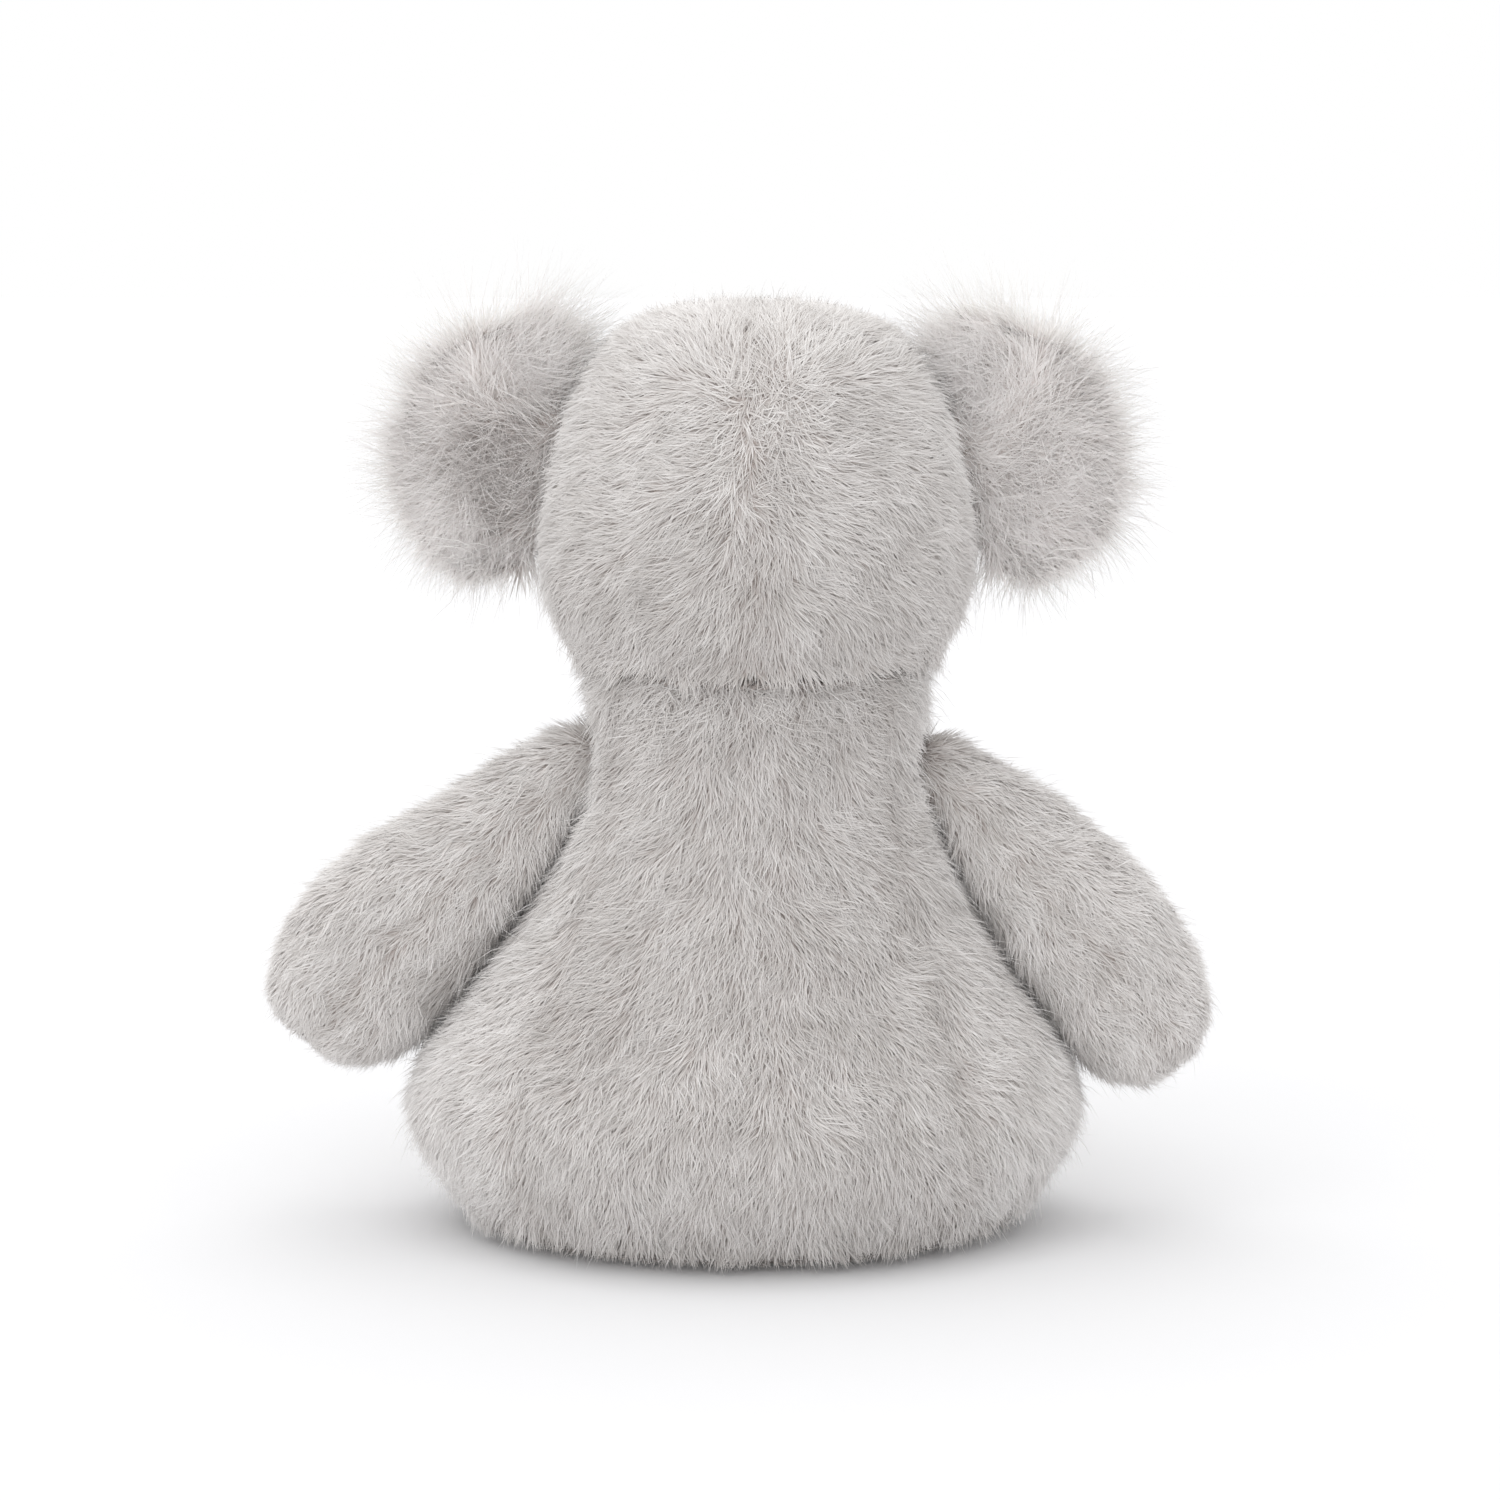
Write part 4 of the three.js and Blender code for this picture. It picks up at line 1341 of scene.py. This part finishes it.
def add_flow_attributes(mesh, panel, points, normals, seam):
    pile, flow, cover = PANEL_PILES[panel]
    kind = kind_of(panel)
    tone = PAINTED_LIGHT_AND_DYE_BY_PLACE.get(kind, even_tone)
    out = way_out(panel, points, normals)
    laid = along_surface(flow(points), out)
    ruffle = soft_noise(points, RUFFLE_LENGTH, "ruffle")
    wander = pile.wander * (soft_noise(points, WANDER_LENGTH, "wander") + RUFFLE_WANDER * ruffle)
    rise = 1 + RUFFLE_RISE * soft_noise(points, RUFFLE_LENGTH, "rise")
    patches = PATCH_SHADE * soft_noise(points, PATCH_LENGTH, "patches") + RUFFLE_SHADE * ruffle
    near_seam = np.exp(-((seam / SEAM_REACH) ** 2))
    # The shade adds painted light and shade by place, and painted shade along the seams, to the pile's own
    # tone and patches
    shade = MIDDLE_SHADE + pile.tone + pile.contrast * patches + tone(points) - pile.seam_dark * near_seam
    attributes = {
        "flow": unit_rows(laid + wander[:, None] * np.cross(out, laid)),
        "out": out,
        "pile": pile.length * length_share(kind, points) * (1 - SEAM_SHRINK * near_seam),
        "lift": pile.lift * rise * lift_share(kind, points) * (1 - SEAM_SHRINK * near_seam),
        "stray": stray_share(kind, points),
        "shade": shade,
        "cover": cover(points, normals),
    }
    for name, values in attributes.items():
        set_attribute(mesh, name, values)


# Layers of each pile: top strands, an under pile darkened with painted shade, and fine wisps lightened with
# painted light
UNDER_SHARE = 0.25
UNDER_WIDTH = 2.2
UNDER_PAINTED_SHADE = -0.3
UNDER_SEED = 1000
FINE_WIDTH = 0.08 * MM
FINE_PAINTED_LIGHT = 0.3
FINE_SEED = 2000
WISP_SHORTEST = 0.5
CLUMP_PULL = 0.8
LIFT_SPREAD = math.radians(9)
SOFTNESS = 0.7
SEED_STEP = 10


def pile_meshes(body, panel, seed):
    pile = PANEL_PILES[panel][0]
    scalp, points, normals, seam = scalp_of(body, panel)
    add_flow_attributes(scalp.data, panel, points, normals, seam)
    top = {
        "Strands": TOP_STRANDS,
        "Density": pile.density * PER_SQUARE_MM,
        "Length Share": 1.0,
        "Shortest": pile.shortest,
        "Width": pile.width,
        "Clump Size": pile.clump,
        "Clump Pull": CLUMP_PULL,
        "Yaw Spread": pile.yaw,
        "Lift Spread": LIFT_SPREAD,
        "Shade Spread": pile.shade,
        "Shade Rise": 0.0,
        "Softness": SOFTNESS,
        "Seed": seed,
        "Material": pile.material,
    }
    under = {
        **top,
        "Strands": UNDER_STRANDS,
        "Density": UNDER_SHARE * pile.density * PER_SQUARE_MM,
        "Width": UNDER_WIDTH * pile.width,
        "Shade Rise": UNDER_PAINTED_SHADE,
        "Seed": seed + UNDER_SEED,
    }
    fine = {
        **top,
        "Strands": FINE_STRANDS,
        "Density": pile.fine * pile.density * PER_SQUARE_MM,
        "Length Share": pile.wisp,
        "Shortest": WISP_SHORTEST,
        "Width": FINE_WIDTH,
        "Shade Rise": FINE_PAINTED_LIGHT,
        "Seed": seed + FINE_SEED,
    }
    layers = {"top": top, "under": under, "fine": fine}
    meshes = [sow(scalp, f"{panel}_{layer}", settings) for layer, settings in layers.items()]
    bpy.data.objects.remove(scalp)
    return meshes


def joined(name, meshes):
    pieces = [linked(f"{name}_{i}", mesh) for i, mesh in enumerate(meshes)]
    with bpy.context.temp_override(
        active_object=pieces[0], selected_editable_objects=pieces, selected_objects=pieces
    ):
        bpy.ops.object.join()
    pieces[0].name = name
    return pieces[0]


# How each body's plush follows the joints: torso to neck, neck to head, and limbs at their roots
TORSO_BEND = span(98, 114)
HEAD_BEND = span(117, 138)
EAR_BEND = 9 * MM
LIMB_BEND = span(-2, 14)


def attach(piece, body):
    kind, _, side = body.partition("_")
    if kind == "torso":
        low, high = [Vector((NECK.x, 0, height)) for height in TORSO_BEND]
        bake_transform(piece, "torso", "neck", low, high)
    elif kind == "head":
        low, high = [Vector((NECK.x, 0, height)) for height in HEAD_BEND]
        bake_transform(piece, "neck", "head", low, high)
    elif kind == "ear":
        fold = pivots[f"{body}_fold"]
        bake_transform(piece, "head", body, fold, fold + Vector((SIDES[side] * EAR_BEND, 0, 0)))
    else:
        line = arm_line(side) if kind == "arm" else leg_line(side)
        start, end = [pivots[f"{body}_lift"] + reach * line for reach in LIMB_BEND]
        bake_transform(piece, "torso", body, start, end)


for place, (body, panels) in enumerate(BODY_PANELS.items()):
    for number, panel in enumerate(panels):
        coat = joined(f"{panel}_pile", pile_meshes(body, panel, SEED + SEED_STEP * place + number))
        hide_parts(panel)
        attach(coat, body)
    skin = skins[body]
    paint(skin, BACKING)
    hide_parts(*panels)
    attach(skin, body)


# Stuffing: lumpy fibre inside each skin
FIBRE_DEPTHS = {"torso": 3.5 * MM, "head": 3.5 * MM, "arm": 2.75 * MM, "leg": 2.75 * MM, "nose": 0.5 * MM}
FIBRE_VOXELS = {"torso": 4.5 * MM, "head": 4.5 * MM, "arm": 3.0 * MM, "leg": 3.0 * MM, "nose": 1.0 * MM}
LUMP_LENGTH = 7 * MM
LUMP_SHARE = 0.35
FILL_BODIES = {"torso_fill": "torso", "head_fill": "head", "nose_padding": "head"}
for side in SIDES:
    FILL_BODIES[f"arm_{side}_fill"] = f"arm_{side}"
    FILL_BODIES[f"leg_{side}_fill"] = f"leg_{side}"


def build_fibre(node, body):
    kind = kind_of(node)
    fibre = remeshed_copy(f"{node}_fibre", [node], FIBRE_VOXELS[kind], SMOOTHING_PASSES)
    points = points_of(fibre.data)
    lumps = soft_noise(points, LUMP_LENGTH, "lumps") * LUMP_SHARE
    set_points(fibre.data, points - (FIBRE_DEPTHS[kind] * (1 + lumps))[:, None] * normals_of(fibre.data))
    subdivide(fibre)
    paint(fibre, FIBRE)
    stand_for(fibre, node, body)


for node, body in FILL_BODIES.items():
    build_fibre(node, body)


# Pouch of pellets in the seat
POUCH_VOXEL = 2.6 * MM
POUCH_SAG = 0.5 * MM
POUCH_WAVE = 9 * MM
BEAD_SPACING = 3.8 * MM
BEAD_RADIUS = 1.7 * MM
BEAD_STRAY = 0.5 * MM
BEAD_SQUASH = ((0.85, 0.85, 0.7), (1, 1, 0.9))
BEAD_TURN = ((0, 0, 0), (6.28, 6.28, 6.28))
BEAD_DRIFT = ((-1, -1, -1), (1, 1, 1))


def build_pouch():
    pouch = remeshed_copy("pellet_pouch_cotton", ["pellet_pouch", "pellets"], POUCH_VOXEL, SMOOTHING_PASSES)
    points = points_of(pouch.data)
    sag = POUCH_SAG * soft_noise(points, POUCH_WAVE, "sag")
    set_points(pouch.data, points + sag[:, None] * normals_of(pouch.data))
    subdivide(pouch)
    paint(pouch, COTTON)
    stand_for(pouch, "pellet_pouch", "torso")


# Geometry Nodes tree that puts a squashed bead on each point
def bead_tree():
    inputs = {"Radius": "Float", "Stray": "Float", "Seed": "Int", "Material": "Material"}
    tree, wiring, given = geometry_tree("pellet_beads", inputs)

    def random_vector(low, high):
        limits = {0: low, 1: high, "Seed": given["Seed"]}
        return wiring.add("FunctionNodeRandomValue", limits, data_type="FLOAT_VECTOR").outputs[0]

    offset = wiring.scaled(random_vector(*BEAD_DRIFT), given["Stray"])
    shaken = wiring.add("GeometryNodeSetPosition", {"Geometry": given["Geometry"], "Offset": offset})
    spots = wiring.add("GeometryNodeMeshToPoints", {"Mesh": shaken.outputs[0]})
    bead = wiring.add("GeometryNodeMeshIcoSphere", {"Radius": given["Radius"], "Subdivisions": 2})
    placed = wiring.add(
        "GeometryNodeInstanceOnPoints",
        {
            "Points": spots.outputs[0],
            "Instance": bead.outputs["Mesh"],
            "Rotation": random_vector(*BEAD_TURN),
            "Scale": random_vector(*BEAD_SQUASH),
        },
    )
    wiring.give(wiring.realised(placed.outputs[0]), given["Material"])
    return tree


def build_pellets():
    low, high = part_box("pellets")
    half = (high - low) / 2 - Vector((BEAD_RADIUS, BEAD_RADIUS, BEAD_RADIUS))
    counts = [int(length / BEAD_SPACING) for length in half]
    spots = []
    for i in range(-counts[0], counts[0] + 1):
        for j in range(-counts[1], counts[1] + 1):
            for k in range(-counts[2], counts[2] + 1):
                step = Vector((i, j, k)) * BEAD_SPACING
                share = Vector((step.x / half.x, step.y / half.y, step.z / half.z))
                if share.length < 1:
                    spots.append(tuple(middle_of("pellets") + step))
    mesh = bpy.data.meshes.new("pellets_beads")
    mesh.from_pydata(spots, [], [])
    beads = linked("pellets_beads", mesh)
    values = {"Radius": BEAD_RADIUS, "Stray": BEAD_STRAY, "Seed": SEED, "Material": PELLET_PLASTIC}
    add_tree(beads, bead_tree(), values)
    bake_modifiers(beads)
    shade_smooth(beads.data)
    stand_for(beads, "pellets", "torso")


build_pouch()
build_pellets()


# Face: domed safety eyes on their shanks, a padded nose, and washers as packed
EYE_SEGMENTS = 40
EYE_EDGE = 0.4 * MM
EYE_RIM_SHARE = 0.98
SHANK_END = 1 * MM
DOME_STEPS = 12
NOSE_VOXEL = 1.3 * MM
NOSE_PASSES = 4


def lathe(name, profile, origin, axis):
    side_way = axis.orthogonal().normalized()
    other_way = axis.cross(side_way)
    turns = [2 * math.pi * k / EYE_SEGMENTS for k in range(EYE_SEGMENTS)]
    ways = [math.cos(turn) * side_way + math.sin(turn) * other_way for turn in turns]
    work = bmesh.new()
    rings = []
    for radius, height in profile:
        if radius == 0:
            rings.append([work.verts.new(origin + height * axis)])
        else:
            rings.append([work.verts.new(origin + height * axis + radius * way) for way in ways])
    for lower, upper in zip(rings, rings[1:]):
        for k in range(EYE_SEGMENTS):
            following = (k + 1) % EYE_SEGMENTS
            if len(lower) == 1:
                work.faces.new((lower[0], upper[following], upper[k]))
            elif len(upper) == 1:
                work.faces.new((lower[k], lower[following], upper[0]))
            else:
                work.faces.new((lower[k], lower[following], upper[following], upper[k]))
    bmesh.ops.recalc_face_normals(work, faces=work.faces)
    mesh = mesh_from(work, name)
    shade_smooth(mesh)
    return linked(name, mesh)


def build_eye(side):
    node = f"eye_{side}"
    points = points_of(nodes[node].data)
    centre = points.mean(axis=0)
    axis = np.linalg.svd(points - centre)[2][0]
    if np.dot(axis, centre - np.array(middle_of(f"eye_washer_{side}"))) < 0:
        axis = -axis
    heights = (points - centre) @ axis
    radii = np.linalg.norm(points - centre - heights[:, None] * axis, axis=1)
    widest = float(radii.max())
    rim = heights[radii > EYE_RIM_SHARE * widest]
    base = float(rim.min())
    shoulder = float(rim.max())
    top = float(heights.max())
    bottom = float(heights.min())
    shank = float(radii[heights < bottom + SHANK_END].max())
    turns = [k / DOME_STEPS * math.pi / 2 for k in range(DOME_STEPS)]
    dome = [(widest * math.cos(turn), shoulder + (top - shoulder) * math.sin(turn)) for turn in turns]
    shell = [(0, bottom), (shank, bottom), (shank, base), (widest - EYE_EDGE, base)]
    eye = lathe(f"{node}_button", [*shell, *dome, (0, top)], Vector(centre), Vector(axis))
    paint(eye, EYE_PLASTIC)
    stand_for(eye, node, "head")


def build_nose():
    nose = remeshed_copy("nose_pillow", ["nose_cover", "nose_padding"], NOSE_VOXEL, NOSE_PASSES)
    subdivide(nose)
    paint(nose, VELOUR)
    stand_for(nose, "nose_cover", "head")


for side in SIDES:
    build_eye(side)
    for washer_slot in nodes[f"eye_washer_{side}"].material_slots:
        washer_slot.material = WASHER_PLASTIC
build_nose()


# Gathering thread of the neck: two plies twisted round each other, at the level of the backing
THREAD_DEPTH = 5.6 * MM
THREAD_RADIUS = 0.6 * MM
THREAD_STEPS = 368
THREAD_SIDES = 6
PLIES = 2
PLY_TWISTS = 46


def build_neck_thread():
    low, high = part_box("neck_seam")
    middle = (low + high) / 2
    half_x = (high.x - low.x) / 2 - THREAD_DEPTH
    half_y = (high.y - low.y) / 2 - THREAD_DEPTH
    work = bmesh.new()
    for ply in range(PLIES):
        rings = []
        for step in range(THREAD_STEPS):
            turn = 2 * math.pi * step / THREAD_STEPS
            outward = Vector((math.cos(turn), math.sin(turn), 0))
            twist = PLY_TWISTS * turn + ply * math.pi
            spot = middle + Vector((half_x * math.cos(turn), half_y * math.sin(turn), 0))
            spot = spot + THREAD_RADIUS * (math.cos(twist) * outward + Vector((0, 0, math.sin(twist))))
            ring = []
            for k in range(THREAD_SIDES):
                around = 2 * math.pi * k / THREAD_SIDES
                rise = Vector((0, 0, math.sin(around)))
                ring.append(work.verts.new(spot + THREAD_RADIUS * (math.cos(around) * outward + rise)))
            rings.append(ring)
        for here, there in zip(rings, rings[1:] + rings[:1]):
            for k in range(THREAD_SIDES):
                following = (k + 1) % THREAD_SIDES
                work.faces.new((here[k], here[following], there[following], there[k]))
    bmesh.ops.recalc_face_normals(work, faces=work.faces)
    mesh = mesh_from(work, "neck_gathering_thread")
    shade_smooth(mesh)
    thread = linked("neck_gathering_thread", mesh)
    paint(thread, THREAD)
    stand_for(thread, "neck_seam", "neck")


build_neck_thread()


# Stage, light and camera

def build_stage():
    half = FLOOR_SIZE / 2
    corners = [(-half, -half, 0), (half, -half, 0), (half, half, 0), (-half, half, 0)]
    mesh = bpy.data.meshes.new("floor")
    mesh.from_pydata(corners, [], [(0, 1, 2, 3)])
    floor = linked("floor", mesh)
    material, wiring, shader = new_material("white_paper")
    rays = wiring.add("ShaderNodeLightPath").outputs
    looks = {
        "Base Color": FLOOR_TONE,
        "Roughness": 1.0,
        "Specular IOR Level": 0.0,
        "Emission Color": WHITE,
        "Emission Strength": wiring.maths("MULTIPLY", rays["Is Camera Ray"], FLOOR_GLOW),
    }
    wiring.feed(shader, looks)
    paint(floor, material)


def build_world():
    world = bpy.data.worlds.new("studio")
    world.use_nodes = True
    scene.world = world
    wiring = Wiring(world.node_tree)
    rays = wiring.add("ShaderNodeLightPath").outputs
    seen = wiring.maths("MAXIMUM", rays["Is Camera Ray"], rays["Is Glossy Ray"])
    seen_through = wiring.maths("MAXIMUM", seen, rays["Is Transmission Ray"])
    strength = wiring.ranged(seen_through, WORLD_STRENGTH, 1.0)
    wiring.feed(world.node_tree.nodes["Background"], {"Color": WHITE, "Strength": strength})


def build_sun(name, strength, spread, way):
    light = bpy.data.lights.new(name, "SUN")
    light.energy = strength
    light.angle = spread
    lamp = linked(name, light)
    lamp.location = way
    lamp.rotation_euler = (-way).to_track_quat("-Z", "Y").to_euler()


def build_camera():
    data = bpy.data.cameras.new("photo_camera")
    data.lens = CAMERA_LENS
    data.sensor_width = SENSOR_WIDTH
    data.clip_start = CAMERA_CLIP
    camera = linked("photo_camera", data)
    away = Vector((0, math.cos(CAMERA_RISE), math.sin(CAMERA_RISE)))
    camera.location = CAMERA_TARGET + CAMERA_DISTANCE * away
    camera.rotation_euler = (-away).to_track_quat("-Z", "Y").to_euler()
    scene.camera = camera


build_stage()
build_world()
build_sun("soft_overhead", SUN_STRENGTH, SUN_SPREAD, SUN_FROM)
build_sun("soft_fill", FILL_STRENGTH, FILL_SPREAD, FILL_FROM)
build_camera()
